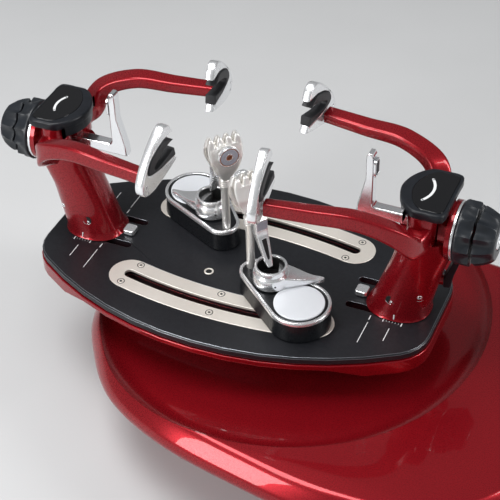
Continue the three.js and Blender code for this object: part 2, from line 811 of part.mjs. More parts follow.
function armBody() {
  const bossMiddle = mast.shelfHeight + fit.run + arm.rootHeight / 2;
  const points = [
    [arm.hingeX, arm.hingeY, bossMiddle],
    [arm.hingeX, arm.hingeY + arm.bossRadius, bossMiddle],
    [arm.hingeX - (arm.hingeX - arm.elbowX) / 4, (arm.hingeY + arm.bossRadius + arm.elbowY) / 2, bossMiddle],
    [arm.elbowX, arm.elbowY, arm.elbowZ],
    [arm.shoulderX, arm.shoulderY, arm.shoulderZ],
    [(arm.shoulderX + arm.tipX) / 2, (arm.shoulderY + arm.tipY) / 2, (arm.shoulderZ * 2 + arm.tipZ) / 3],
    [arm.tipX, arm.tipY, arm.tipZ],
  ].map(([x, y, z]) => new THREE.Vector3(x, y, tableTop + z));
  const path = new THREE.CatmullRomCurve3(points, false, 'centripetal');
  const steps = 14;
  const rings = [];
  for (let i = 0; i <= steps; i += 1) {
    const u = i / steps;
    const width = armSize(arm.rootWidth, arm.middleWidth, arm.tipWidth, u);
    const height = armSize(arm.rootHeight, arm.middleHeight, arm.tipHeight, u);
    rings.push(armSection(path.getPointAt(u), path.getTangentAt(u), width, height));
  }
  const low = tableTop + mast.shelfHeight + fit.run;
  const boss = disc(arm.bossRadius, low, low + arm.bossHeight, 16).translate(arm.hingeX, arm.hingeY, 0);
  const bore = disc(arm.pinRadius + fit.run, low - fit.cutOver, low + arm.bossHeight + fit.cutOver, 10)
    .translate(arm.hingeX, arm.hingeY, 0);
  const stub = rod(arm.stubRadius, -arm.stubLength, arm.stubLength, 0, 0, 10)
    .rotateZ(-holder.yaw * degree).translate(arm.tipX, arm.tipY, tableTop + arm.tipZ);
  return cut(join(loft(rings), boss, stub), bore);
}

function mirrorY(geometry) {
  return orient(geometry.clone().scale(1, -1, 1));
}

// The C-shaped holder in its own plane, as shares of its depth away from the racket and of its height.
const shellOuterShares = [
  [0.09, 0.77], [0.17, 0.93], [0.31, 1.0], [0.53, 0.87], [0.74, 0.66], [0.91, 0.44], [0.99, 0.25],
  [0.98, 0.1], [0.88, 0.01], [0.7, 0.0], [0.28, 0.1], [0.0, 0.2],
];
const shellInnerShares = [[0.07, 0.3], [0.27, 0.3], [0.52, 0.3], [0.81, 0.39], [0.78, 0.54], [0.6, 0.67], [0.36, 0.76]];
const grooveShares = [[0.12, 0.64], [0.33, 0.61], [0.52, 0.53], [0.66, 0.43], [0.63, 0.38], [0.42, 0.39], [0.1, 0.46]];

function holderPoints(shares, inset = 0) {
  const [depth, height] = [holder.outer - holder.inner, holder.top - holder.bottom];
  const points = shares.map(([y, z]) => new THREE.Vector2(holder.inner + y * depth, holder.bottom + z * height));
  return inset ? insetOpen(points, inset) : points;
}

// An open line moved sideways by an even distance.
function insetOpen(points, distance) {
  return points.map((p, i) => {
    const before = points[Math.max(0, i - 1)];
    const after = points[Math.min(points.length - 1, i + 1)];
    const along = after.clone().sub(before).normalize();
    return new THREE.Vector2(p.x - along.y * distance, p.y + along.x * distance);
  });
}

function holderOutline() {
  return [...holderPoints(shellOuterShares), ...holderPoints(shellInnerShares)];
}

function padOutline() {
  return [...holderPoints(shellInnerShares, fit.seat), ...holderPoints(grooveShares)];
}

function acrossPiece(points, width, bevel) {
  const geometry = slab(points, -width / 2, width / 2, bevel);
  return geometry.rotateX(quarter).rotateZ(quarter);
}

function placeHolder(geometry) {
  return geometry.translate(0, -arm.tipY, -arm.tipZ)
    .translate(-holder.width / 2 - holder.padOverhang - fit.run, 0, 0)
    .rotateZ(-holder.yaw * degree)
    .translate(arm.tipX, arm.tipY, tableTop + arm.tipZ);
}

function holderBody() {
  const bore = rod(arm.stubRadius + fit.run, -holder.width, holder.width, arm.tipY, arm.tipZ, 10);
  return placeHolder(cut(acrossPiece(holderOutline(), holder.width, holder.bevel), bore));
}

function padBody() {
  return placeHolder(acrossPiece(padOutline(), holder.width + holder.padOverhang * 2, holder.padBevel));
}

// The two lock levers are mirror images, both turned towards the back of the machine.
function placeLever(geometry, hand) {
  return geometry.rotateZ(hand * lever.turn * degree).translate(mastAxis(lever.height), 0, tableTop + lever.height);
}

function buildLever(parent, name, hand) {
  const { length, thickness, width, reach } = lever;
  const profile = [
    [0, -width / 2], [thickness, -width / 2], [thickness + reach / 3, length / 3], [thickness + reach, length],
    [reach, length], [thickness / 3, length / 3], [0, width / 2],
  ].map(([x, z]) => new THREE.Vector2(x, z));
  const piece = slab(profile, -width / 2, width / 2, fit.run).rotateX(quarter);
  add(name, placeLever(piece.translate(lever.bossReach + fit.seat, 0, 0), hand), blackPlastic, parent);
}

function buildSlideKey(parent, name) {
  const end = mast.baseX - mast.baseHalfLength - fit.seat;
  const bottom = tableTop + slot.proud + fit.seat;
  const outline = roundedRect(slideKey.length / 2, slideKey.width / 2, slideKey.corner, 1);
  const block = slab(outline, bottom, bottom + slideKey.height, fit.run);
  add(name, block.translate(end - slideKey.length / 2, 0, 0), chrome, parent);
}

function buildMast(side) {
  const parent = new THREE.Group();
  if (side === 'left') parent.rotation.z = Math.PI;
  group.add(parent);
  const hand = side === 'left' ? -1 : 1;
  parent.position.x = hand * mastShift;
  buildMastColumn(parent, `${side}_mast`, hand);
  buildCover(parent, `${side}_head_cover`, `${side}_cover_inlay`);
  buildKnobs(parent, side);
  buildSupport(parent, side);
  buildLever(parent, `${side}_lock_lever`, hand);
  buildSlideKey(parent, `${side}_slide_key`);
  const names = side === 'left' ? ['front', 'rear'] : ['rear', 'front'];
  names.forEach((place, i) => {
    const turn = i ? mirrorY : (geometry) => geometry;
    add(`${side}_arm_${place}`, turn(armBody()), redPaint, parent);
    add(`${side}_holder_${place}`, turn(holderBody()), satin, parent);
    add(`${side}_pad_${place}`, turn(padBody()), rubber, parent);
  });
}

// Clamps. Each is modelled along +X from the pivot disc to the post, then turned into place.

function eggOutline(inset) {
  const big = clampBase.bigRadius - inset;
  const small = clampBase.smallRadius - inset;
  const turn = Math.acos((big - small) / clampBase.spacing);
  return [
    ...arcPoints(0, 0, big, turn, full - turn, 15),
    ...arcPoints(clampBase.spacing, 0, small, -turn, turn, 6),
  ];
}

function buildJaw(name, side, parent) {
  const height = jaw.toothBase - jaw.bottom;
  const rings = jawShares.map(([up, wide, out]) => {
    const half = jaw.width / 2 * wide;
    const near = jaw.gap / 2 + jaw.bulge * out;
    return plateRing(half, side * near, side * (near + jaw.thickness), jaw.bottom + height * up);
  });
  const teeth = [];
  const pitch = (jaw.width - jaw.toothWidth) / (jaw.teeth - 1);
  const near = side * jaw.gap / 2;
  for (let i = 0; i < jaw.teeth; i += 1) {
    const middle = -(jaw.width - jaw.toothWidth) / 2 + i * pitch;
    const tooth = loft([
      plateRing(jaw.toothWidth / 2, near, near + side * jaw.thickness, jaw.toothBase - fit.run),
      plateRing(jaw.toothWidth / 4, near, near + side * jaw.thickness / 2, jaw.toothTop),
    ]);
    teeth.push(tooth.translate(middle, 0, 0));
  }
  add(name, join(loft(rings), ...teeth), steel, parent);
}

// Rise of a jaw from the post to the tooth line: shares of height, width and outward bulge.
const jawShares = [
  [0, 0.24, 0], [0.14, 0.42, 0.45], [0.34, 0.7, 0.95], [0.6, 0.93, 1], [0.84, 1.02, 0.5], [1, 1, 0],
];

function plateRing(half, near, far, z) {
  return [[-half, near], [half, near], [half, far], [-half, far]].map(([x, y]) => new THREE.Vector3(x, y, z));
}

function buildPost(side, parent) {
  const bottom = clampBase.lift + fit.run;
  const sleeveTop = post.sleeveHeight + post.sleeveLength;
  const stem = turned([
    [0, bottom], [post.radius, bottom], [post.radius, post.sleeveHeight - fit.run],
    [post.sleeveRadius, post.sleeveHeight], [post.sleeveRadius, sleeveTop],
    [post.radius, sleeveTop + fit.run], [post.radius, jaw.bottom - fit.seat], [0, jaw.bottom - fit.seat],
  ], 12).translate(post.distance, 0, 0);
  add(`clamp_${side}_post`, stem, steel, parent);
}

function buildCamLever(side, parent) {
  const level = (near, far, half, z) => plateRing(half, near, far, z);
  const half = cam.width / 2;
  const blade = loft([
    level(cam.inner, cam.outer, half, cam.top),
    level(cam.inner, cam.outer, half, cam.bottom),
    level(cam.tipReach - cam.tipThickness, cam.tipReach, cam.tipWidth / 2, cam.tipHeight),
  ]);
  const near = post.sleeveRadius + fit.seat;
  const lug = box(0, (near + cam.outer) / 2, cam.bottom + cam.lugHeight / 2, half, cam.outer - near, cam.lugHeight);
  add(`clamp_${side}_cam_lever`, join(blade, lug), satin, parent);
}

function buildClampHead(side, parent) {
  const headGroup = new THREE.Group();
  headGroup.position.set(post.distance, 0, 0);
  headGroup.rotation.z = (side === 'front' ? jaw.frontRowAngle : jaw.rearRowAngle) * degree - parent.rotation.z;
  parent.add(headGroup);
  buildJaw(`clamp_${side}_jaw_fixed`, -1, headGroup);
  buildJaw(`clamp_${side}_jaw_moving`, 1, headGroup);
  const face = -(jaw.gap / 2 + jaw.bulge + jaw.thickness + fit.seat);
  const dialPiece = disc(dial.radius, 0, dial.thickness, 24).rotateX(quarter).translate(0, face, dial.height);
  add(`clamp_${side}_dial`, dialPiece, satin, headGroup);
  buildCamLever(side, headGroup);
}

const discTop = clampBase.height + clampBase.discRise;

function buildClampBase(side, parent) {
  const top = clampBase.height;
  const low = clampBase.lift;
  const ringAt = (inset, z) => eggOutline(inset).map((p) => new THREE.Vector3(p.x, p.y, z));
  const shell = loft([
    ringAt(0, low),
    ringAt(clampBase.bodyInset, top - clampBase.rimHeight),
    ringAt(clampBase.rimWall, top - clampBase.rimHeight + fit.seat),
    ringAt(clampBase.rimWall, top - clampBase.topDrop),
  ]);
  const postRoom = disc(post.radius + fit.seat, low - fit.cutOver, top + fit.cutOver, 16).translate(post.distance, 0, 0);
  const plateLow = discTop - clampBase.discThickness - fit.seat;
  const plateRoom = disc(clampBase.discRadius + fit.seat, plateLow, top + fit.cutOver);
  add(`clamp_${side}_base`, cut(shell, postRoom, plateRoom), blackPlastic, parent);
  const rimLow = top - clampBase.rimHeight + fit.seat * 2;
  const rim = slab(eggOutline(0), rimLow, top, fit.run);
  const rimHole = slab(eggOutline(clampBase.rimWall - fit.seat), rimLow - fit.cutOver, top + fit.cutOver);
  add(`clamp_${side}_rim`, cut(rim, rimHole), chrome, parent);
  const plate = disc(clampBase.discRadius, plateLow + fit.seat, discTop);
  add(`clamp_${side}_disc`, plate, discFace, parent);
}

const bladeShares = { shoulderReach: 0.55, shoulderWidth: 0.8 };

function buildLockCollar(side, parent) {
  const low = discTop + fit.seat;
  const middle = low + collar.lowerHeight;
  const top = middle + collar.upperHeight;
  const body = turned([
    [0, low], [collar.radius, low], [collar.radius, middle - fit.run * 2],
    [collar.upperRadius, middle], [collar.upperRadius, top], [0, top],
  ], 24);
  const root = collar.leverRoot / 2;
  const tip = collar.leverTip / 2;
  const shoulder = collar.leverLength * bladeShares.shoulderReach;
  const wide = root * bladeShares.shoulderWidth;
  const blade = slab([
    [0, -root], [shoulder, -wide], [collar.leverLength - tip, -tip], [collar.leverLength, 0],
    [collar.leverLength - tip, tip], [shoulder, wide], [0, root],
  ].map(([x, y]) => new THREE.Vector2(x, y)), low + collar.gap, low + collar.gap + collar.leverThickness, fit.run);
  blade.rotateZ((side === 'front' ? collar.frontLeverAngle : collar.rearLeverAngle) * degree);
  const well = disc(collar.bore, low + collar.floor, top + fit.cutOver, 20);
  add(`clamp_${side}_lock_collar`, cut(join(body, blade), well).translate(collar.distance, 0, 0), satin, parent);
}

function buildFoot(side, parent, slotAngle) {
  const shoeTop = -slot.proud - table.plateThickness - tray.depth - fit.run;
  const neck = roundedRect(foot.length / 2, slot.width / 2 - fit.run / 2, foot.corner, 2);
  const flange = roundedRect(foot.length / 2, foot.flange / 2, foot.corner, 2);
  const shoe = join(
    slab(neck, shoeTop - foot.flangeThickness / 2, clampBase.lift - fit.seat),
    slab(flange, shoeTop - foot.flangeThickness, shoeTop),
  );
  add(`clamp_${side}_foot`, shoe.rotateZ(slotAngle - parent.rotation.z), steel, parent);
}

function buildClamp(side) {
  const parent = new THREE.Group();
  const sign = side === 'front' ? 1 : -1;
  const x = side === 'front' ? clampBase.frontX : clampBase.rearX;
  const y = slot.arcRadius - slot.centreDistance - Math.sqrt(slot.arcRadius ** 2 - x ** 2);
  parent.position.set(sign * x, sign * y, tableTop + slot.proud);
  parent.rotation.z = (side === 'front' ? clampBase.frontAngle : clampBase.rearAngle) * degree;
  group.add(parent);
  buildClampBase(side, parent);
  buildLockCollar(side, parent);
  buildPost(side, parent);
  buildClampHead(side, parent);
  buildFoot(side, parent, Math.asin(x / slot.arcRadius));
}

buildHousing();
buildBearing();
buildTray();
buildTopPlate();
buildMast('left');
buildMast('right');
buildClamp('front');
buildClamp('rear');

export default group;
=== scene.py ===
import json
from math import acos, asin, copysign, cos, pi, radians, sin, sqrt
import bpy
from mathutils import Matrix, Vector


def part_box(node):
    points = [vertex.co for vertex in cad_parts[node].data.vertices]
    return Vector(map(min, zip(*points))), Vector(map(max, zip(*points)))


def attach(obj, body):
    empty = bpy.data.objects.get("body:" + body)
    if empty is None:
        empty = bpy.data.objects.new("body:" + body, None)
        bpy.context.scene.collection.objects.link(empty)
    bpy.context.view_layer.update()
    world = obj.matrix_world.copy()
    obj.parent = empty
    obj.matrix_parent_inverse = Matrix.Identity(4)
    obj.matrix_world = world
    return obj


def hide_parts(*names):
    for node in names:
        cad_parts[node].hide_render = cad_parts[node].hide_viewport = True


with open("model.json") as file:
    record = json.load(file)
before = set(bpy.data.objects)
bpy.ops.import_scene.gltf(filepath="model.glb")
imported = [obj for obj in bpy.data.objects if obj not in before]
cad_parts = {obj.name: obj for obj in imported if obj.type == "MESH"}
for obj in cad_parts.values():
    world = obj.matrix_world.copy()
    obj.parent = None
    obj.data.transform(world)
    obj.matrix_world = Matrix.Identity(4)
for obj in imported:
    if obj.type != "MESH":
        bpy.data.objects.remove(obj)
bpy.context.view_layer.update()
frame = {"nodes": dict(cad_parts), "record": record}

from types import SimpleNamespace as Sizes

import bmesh
import bpy
from mathutils import Matrix, Vector
from mathutils.bvhtree import BVHTree

# Sizes, in millimetres unless MM has turned them into metres

MM = 0.001
TABLE_TOP = 155 * MM
SLOT_PLATE_TOP = 155.6 * MM
BODY_OF = {
    node: body for body, nodes in frame["record"]["behaviour"]["bodies"].items() for node in nodes
}
SLOT_OF = {row["node"]: row["material_slot"] for row in frame["record"]["subparts"]}
SIDES = {"left": -1, "right": 1}
PLACES = {"front": -1, "rear": 1}

# The housing: levels of its foot, skirt, waist, bulge, lip and deck, and the plan at each of them

HOUSING_LEVELS = [6.3, 28, 62, 94, 110, 120]
HOUSING_TAPERS = [1, 0.8, 0.38, 0]
HOUSING_STEPS = [4, 5, 6, 6, 7]
HOUSING_CREASE = 32
HOUSING = Sizes(
    lip_inset=7, rim_inset=21, crest_pull=0.9, left_drop=10, drop_length=170,
    dish_centre=57, dish_radius=221, dish_floor_radius=190, dish_depth=24, dish_steps=12,
    cut_over=5, cut_flare=4,
)
WIDEST = {"left": 158, "right": 392, "front": 262, "rear": 160}
PEDESTAL = {"left": 52, "right": 342, "front": 156, "rear": 120}
PLAN_SHARES = [
    (-1.0, 0.1), (-0.97, -0.3), (-0.79, -0.5), (-0.49, -0.71), (-0.04, -0.86), (0.23, -0.95),
    (0.51, -1.0), (0.77, -0.93), (0.95, -0.66), (1.0, -0.25), (0.97, 0.35), (0.84, 0.85),
    (0.6, 0.99), (0.25, 1.0), (-0.25, 0.92), (-0.8, 0.62),
]

# The table: its arc slots, the walls of the tray's slots, and the scales, screws and bush on it

SLOT = Sizes(radius=540, centre=75.5, reach=108, width=12, band=46, plate=3, edge=0.35)
TRAY_SLOTS = Sizes(x=135, near_y=40, far_y=105)
SCALE = Sizes(first=175, last=195, parts=6, end=(29.6, 34.4, 1.2), step=(31, 33, 0.5))
SCALE_LINES = {"inner": (160.5, 30, 37, 1.2), "long": (161, 41, 74, 0.9), "short": (185, 42, 62, 0.9)}
LINE_HEIGHTS = (0.02, 0.08)
PLATE_SCREWS = [(-102.5, 48), (102.5, 48), (-111, 80), (111, 80), (0, 58.5), (0, 90)]
# The ring round each screw head and the inside of its socket are painted shade, drawn as flat black pieces.
PLATE_SCREW_PARTS = [
    ("_gap_shade", [(4.35, 0.02), (4.35, 0.05)], "dark", 32),
    ("_head", [(3.5, 0.05), (3.5, 0.12), (3.29, 0.2), (1.75, 0.2), (1.61, 0.16)], "slot_steel", 32),
    ("_socket_shade", [(1.54, 0.16), (1.54, 0.21)], "dark", 6),
]
BUSH_PLACE = (-28.5, -29)
# The ring round the bush and the inside of its hole are painted shade, drawn as flat black pieces.
BUSH_PARTS = [
    ("_gap_shade", [(7.0, 0.02), (7.0, 0.06)], "dark", 40),
    ("_ring", [(5.4, 0.04), (5.4, 0.5), (5.0, 0.8), (3.9, 0.8), (3.5, 0.4), (3.5, 0.1)], "slot_steel", 40),
    ("_hole", [(3.4, 0.1), (3.4, 0.16)], "dark", 32),
]

# The masts: height, half length and half width of the skin, and what their front walls carry

MAST_LEVELS = [
    (0.9, 35, 31), (3, 33.7, 29.7), (6, 32.4, 28.4), (9, 32, 28), (62, 28, 26), (92, 29, 30),
    (110.8, 29, 30),
]
MAST = Sizes(base_x=182, neck_x=208, neck_height=92, skin=0.15, powers=(2 / 2.3, 2 / 2.3))
# The hole in each mast is a black disc of painted shade; the satin arc along its lower edge, at the edge
# angles and edge_width, is a painted highlight.
MAST_HOLE = Sizes(x=179.5, height=25.2, radius=5.0, screw_shift=1.6, edge=(200, 335), edge_width=0.5)
MAST_HOLE_PROFILE = [(5.0, -0.5), (5.0, 0.05), (4.7, 0.08)]
HOLE_SCREW = [(1.5, 0), (1.5, 0.25), (1.2, 0.4), (0.6, 0.4), (0.5, 0.2)]
# Under each outer screw a satin arc, placed by edge_radius, edge_shift, edge and edge_width, is a painted
# highlight; the screw's socket is painted shade.
MAST_SCREW = Sizes(
    x=210.0, height=36.0, edge_radius=4.2, edge_shift=-1.6, edge=(205, 330), edge_width=0.4,
)
# Heights of the satin arcs that are painted highlights at the hole and under the outer screw
MAST_HIGHLIGHT_LEVELS = (0.0, 0.2)
MAST_SCREW_PARTS = [
    ("_screw", [(2.7, -0.3), (2.7, 0.3), (2.3, 0.55), (1.3, 0.55), (1.2, 0.3)], "satin", 32),
    ("_socket_shade", [(1.15, 0.28), (1.15, 0.34)], "dark", 6),
]
POINTER = Sizes(
    x=185.5, height=5.6, half_width=0.6, half_length=2.6, lift=0.45, levels=(0.02, 0.1),
)
WALL_LIFT = 0.2
RAY_START = -80

# The covers of the masts, heights over the table, and the centre, radius and half angle of their arcs

COVER = Sizes(
    x=205, half_length=27.5, half_width=38, top=158, round=2.5, skirt_end=190.8,
    band=12.5, outer_inset=3, side_inset=5, sunk=156.5, gap=0.3,
)
COVER_SIDE = [(0.6, 149), (0, 150.2), (0, 155.5)]
COVER_SKIRT = [(2.5, 138), (1.8, 138.9), (1.25, 151.5)]
COVER_PLATE = [(0, 156.8), (0, 157.9), (0.15, 158.15), (0.5, 158.3)]
COVER_TURNS = (22.5, 45, 67.5, 90)
COVER_SHARES = [
    (1, 0), (1, 0.45), (1, 0.8), (0.93, 0.95), (0.75, 1), (0.3, 1), (-0.18, 0.98), (-0.58, 0.76),
    (-0.88, 0.4), (-1, 0),
]
COVER_ARCS = {"left": (-190.5, 25, 33), "right": (181.5, 29, 38)}
COVER_ARC = Sizes(width=2.8, height=0.12)

# The knobs: distance from the middle, radius and depth of the scoops, from the mast outwards

KNOB_AXIS = 116.5
KNOB_BORE = 10.6
KNOB_FLUTES = 12
KNOB_BACK = 277.7
KNOB_DISH = Sizes(rim=11.5, floor=10.5, depth=1.2)
AXIS_POINT = 0.01
KNOB_INNER = [
    (241.1, 31.2, 0.0), (241.5, 32.4, 0.0), (242.4, 33.2, 0.0), (243.8, 33.5, 0.1), (246.5, 33.5, 1.2),
    (249.5, 33.5, 2.6), (252.5, 33.5, 3.9), (255.4, 33.5, 4.9), (257.0, 33.1, 5.0), (257.6, 32.0, 4.6),
]
KNOB_OUTER = [
    (260.1, 29.8, 4.2), (260.8, 30.7, 4.6), (262.2, 31.0, 5.0), (265.5, 30.1, 4.7), (269.0, 28.9, 4.1),
    (272.5, 27.3, 3.2), (275.5, 25.8, 2.2), (278.0, 24.2, 1.1), (279.8, 22.6, 0.4), (280.8, 21.0, 0.1),
    (281.1, 19.6, 0.0),
]
KNOB_CAP = [(10, 0), (10, 0.6), (9.4, 1.1), (4.6, 1.1), (4.2, 0.5), (AXIS_POINT, 0.5)]
KNOB_CAP_DEPTH = 1.1

# The side arms and their holders

ARM = Sizes(
    hinge_x=207, hinge_y=22, low=111.6, boss_radius=15, boss_top=148, bore=5.1,
    edge=1.2, corner=0.35, root=(25, 25), middle=(19, 18), tip=(14.5, 15.5),
    middle_share=0.5, start_share=0.036, tip_place=(65, 85, 158.5), elbow=(193, 62, 144),
    shoulder=(158, 72, 158.5), stub_radius=4, stub_length=9, stub_edge=0.5,
)
ARM_SECTION_SHARES = [
    (1, -0.8), (1, 0.8), (0.8, 1), (-0.8, 0.78), (-1, 0.56), (-1, -0.6), (-0.8, -0.8), (0.8, -1),
]
HOLDER = Sizes(
    inner=42, outer=109, bottom=147, top=210, width=10, yaw=6, over=1, gap=0.6,
    edge=1.8, edge_share=0.3, pad_edge=1.2, pad_sunk=0.3,
)
SHELL_OUTER_SHARES = [
    (0.09, 0.77), (0.17, 0.93), (0.31, 1.0), (0.53, 0.87), (0.74, 0.66), (0.91, 0.44), (0.99, 0.25),
    (0.98, 0.1), (0.88, 0.01), (0.7, 0.0), (0.28, 0.1), (0.0, 0.2),
]
SHELL_INNER_SHARES = [
    (0.07, 0.3), (0.27, 0.3), (0.52, 0.3), (0.81, 0.39), (0.78, 0.54), (0.6, 0.67), (0.36, 0.76),
]
GROOVE_SHARES = [
    (0.12, 0.64), (0.33, 0.61), (0.52, 0.53), (0.66, 0.43), (0.63, 0.38), (0.42, 0.39), (0.1, 0.46),
]
HOLDER_SCREWS = ((100.5, 152.5), (102.5, 160.5))
HOLDER_SCREW_START = 60
# The inside of each screw's socket is painted shade, drawn as a flat black piece.
HOLDER_SCREW_PARTS = [
    ("", [(1.7, -0.3), (1.7, 0.15), (1.45, 0.3), (0.8, 0.3), (0.75, 0.15)], "satin", 24),
    ("_socket_shade", [(0.7, 0.14), (0.7, 0.2)], "dark", 6),
]

# The pads of the inner supports, as (outline, inset, height) rows

PAD = Sizes(corner=3.2, frame=1.8, inner_corner=2)
PAD_FRAME = [
    ("outer", 0, 0), ("outer", 0, 2.0), ("outer", 0.4, 2.4), ("inner", -0.3, 2.4), ("inner", 0, 2.1),
    ("inner", 0, 0), ("outer", 0, 0),
]
PAD_FACE = [("face", 0, 0), ("face", 0, 1.2), ("face", 0.5, 1.6)]
PAD_GAP = 0.15

# The clamps: where they stand, and their pieces from the base up, heights over the slot plates

CLAMPS = {
    "front": {"x": 94, "sign": 1, "angle": 153, "row": 236, "lever": 226},
    "rear": {"x": 90, "sign": -1, "angle": -38, "row": 48, "lever": 207},
}
BASE = Sizes(big=34, small=19, spacing=69)
BASE_ROWS = [(0.7, 0.4), (0, 1.1), (1.5, 21.1), (1.9, 21.5), (4, 21.8), (4, 25), (4.5, 25.5)]
RIM_ROWS = [
    (0.6, 22.1), (0, 22.7), (0, 25.6), (0.25, 26.4), (0.8, 26.9), (1.5, 27), (2.9, 27), (3.5, 26.7),
    (3.7, 26.1), (3.7, 22.1), (0.6, 22.1),
]
DISC_PROFILE = [(27, 24.8), (27, 26.7), (26.8, 27.05), (26.4, 27.2)]
COLLAR_PLACE = 45
COLLAR_PROFILE = [
    (AXIS_POINT, 30.5), (14.5, 30.5), (14.5, 48.7), (14.9, 49.4), (15.5, 49.5), (16.7, 49.5),
    (17.3, 49.3), (17.5, 48.7), (17.5, 44.2), (17.1, 43.9), (17.1, 43.3), (17.6, 42.6), (18.4, 42.0),
    (19.1, 41.3), (19.5, 40.4), (19.5, 28.3), (19.1, 27.6), (18.6, 27.5), (AXIS_POINT, 27.5),
]
# A black lining in the collar's well, as painted shade.
WELL_PROFILE = [(14.35, 47.6), (14.35, 31.0), (14.0, 30.7), (AXIS_POINT, 30.7)]
BLADE = Sizes(
    start=8, length=48, half=13.5, narrows=10.1, tip_half=3.7, tip_share=0.9,
    narrow_share=0.98, low=28, high=41.2, drops=7.6, drop_share=0.85, blunt=0.08,
    corner=1.6, corner_share=0.6, steps=26,
)
DOT = Sizes(azimuth=-55, radius=19.5, height=34, profile=[(1.15, -0.3), (1.15, 0.08)])
POST_PLACE = 79
POST_FOOT = [(4.6, 1.0), (4.6, 82.6), (4.9, 83.2), (6.1, 83.5), (6.4, 84)]
POST_GROOVES = (86, 88.6, 91.2)
POST_GROOVE = [(6.4, 0), (5.7, 0.3), (5.7, 0.8), (6.4, 1.1)]
POST_HEAD = [(6.4, 93.6), (6.0, 94.1), (4.7, 94.6), (4.6, 95.7)]
JAW = Sizes(width=39, thickness=6, bulge=4.5, gap=2, bottom=96, base=141.5, top=150)
JAW_SHARES = [
    (0, 0.24, 0), (0.14, 0.42, 0.45), (0.34, 0.7, 0.95), (0.6, 0.93, 1), (0.84, 1.02, 0.5), (1, 1, 0),
]
JAW_RINGS = 30
JAW_POINTS = 40
JAW_POWERS = (0.55, 0.6)
TEETH = 4
TOOTH = Sizes(
    width=9, root=1.6, steps=10, narrows=0.56, power=1.4, thins=0.42,
    crown_share=0.85, crown_narrows=1.6, crown_thins=1.4, corner_share=0.7,
)
DIAL_HEIGHT = 132
DIAL_GAP = 0.3
DIAL_RIM = [
    (11.4, 0), (12, 0.6), (12, 4.3), (11.8, 4.8), (11.3, 5.0), (10.9, 4.9), (10.8, 4.4), (AXIS_POINT, 4.4),
]
DIAL_PARTS = [
    ("_edge", [(10.75, 4.42), (10.75, 4.62), (9.7, 4.62)], "copper", 64),
    ("_face", [(9.9, 4.5), (9.9, 4.72), (9.7, 4.78), (4.6, 4.78)], "grey", 64),
    ("_ring", [(4.7, 4.6), (4.7, 4.95), (4.4, 5.0), (3.5, 5.0), (3.3, 4.9)], "satin", 64),
    ("_centre", [(3.4, 4.7), (3.3, 4.93), (2.2, 4.98), (AXIS_POINT, 4.99)], "copper", 64),
]
# The groove on the dial's centre is a thin black bar of painted shade.
DIAL_GROOVE = Sizes(half_length=2.2, half_width=0.35, low=4.9, high=5.0, angle=35)

# The cam lever: rows of height, near face, far face and half width, and the flat part of its blade

CAM_ROWS = [
    (105, 14.9, 24.6, 6.6), (104.6, 14.5, 25, 7.0), (88.6, 14.5, 25, 7.0), (84, 17.6, 27.0, 6.6),
    (76, 22.0, 30.2, 5.9), (66, 27.6, 34.3, 4.9), (56, 33.4, 38.4, 3.7), (53, 35.4, 39.6, 3.1),
    (52, 36.6, 39.4, 2.2),
]
CAM_CORNER = 0.9
CAM_BLADE = ((27.0, 84), (38.4, 56))
CAM_LUG = Sizes(half=(3.5, 6.2), corner=0.8, place=12.9, heights=(88, 94))
CAM_PLATE = Sizes(half=(6.1, 5.2), corner=0.8, height=97.5, face=25, levels=(-0.3, 0.12))
INLAY_SHAPE = ((2.9, 2.0), (2.4, 13), (1.5, 23), (0.7, 25.5))
INLAY_LEVELS = (-0.3, 0.10)
INLAY_EDGE = Sizes(inset=-0.35, levels=(-0.35, 0.05))

# How far each node's edges are rounded, in millimetres, and the angle that counts as an edge

ROUNDING = {
    "housing_body": (1.2, 38),
    "base_plate": (0.8, 35),
    "turntable_tray": (0.8, 35),
    "top_plate": (0.9, 35),
    "slot_plate_front": (0.35, 35),
    "slot_plate_rear": (0.35, 35),
}
DEFAULT_ROUNDING = (0.35, 38)
MERGE_DISTANCE = 0.002
FORM_MERGE_DISTANCE = 0.001
FLAT_ANGLE = 0.4

# The studio, in metres, degrees and watts: place, aim, width, height and power of each lamp

LAMPS = {
    "key": ((-0.5, -0.2, 1.95), (0.0, 0.0, 0.15), 1.2, 0.9, 27),
    "side": ((1.45, 0.25, 0.95), (0.1, 0.0, 0.12), 0.3, 1.4, 14.5),
    "front": ((-0.85, -1.4, 0.9), (0.0, 0.0, 0.15), 0.45, 1.1, 19),
}
SKY = {"Color": (0.78, 0.79, 0.80, 1), "Strength": 0.32}
FLOOR = Sizes(half=3.0, half_width=4.8, back=2.6, radius=1.2, top=3.0, steps=12)
CAMERA = Sizes(
    place=(504.7 * MM, -1078.9 * MM, 1163.4 * MM), azimuth=24.69, elevation=39.78,
    roll=-1.84, focal_pixels=1408.75, image_pixels=500, sensor=36, near=0.05, far=20,
)

# Finishes. "base" gives the colour, the metallic share and the roughness. "tones" runs between two
# colours along a pattern, "grain" varies the roughness along one, and "relief" is a low bump with its
# strength and its depth. A pattern is a scale and a detail, at times with a stretch and a contrast,
# or a scale alone for cells. "softening" is how far corners are softened in the shading.

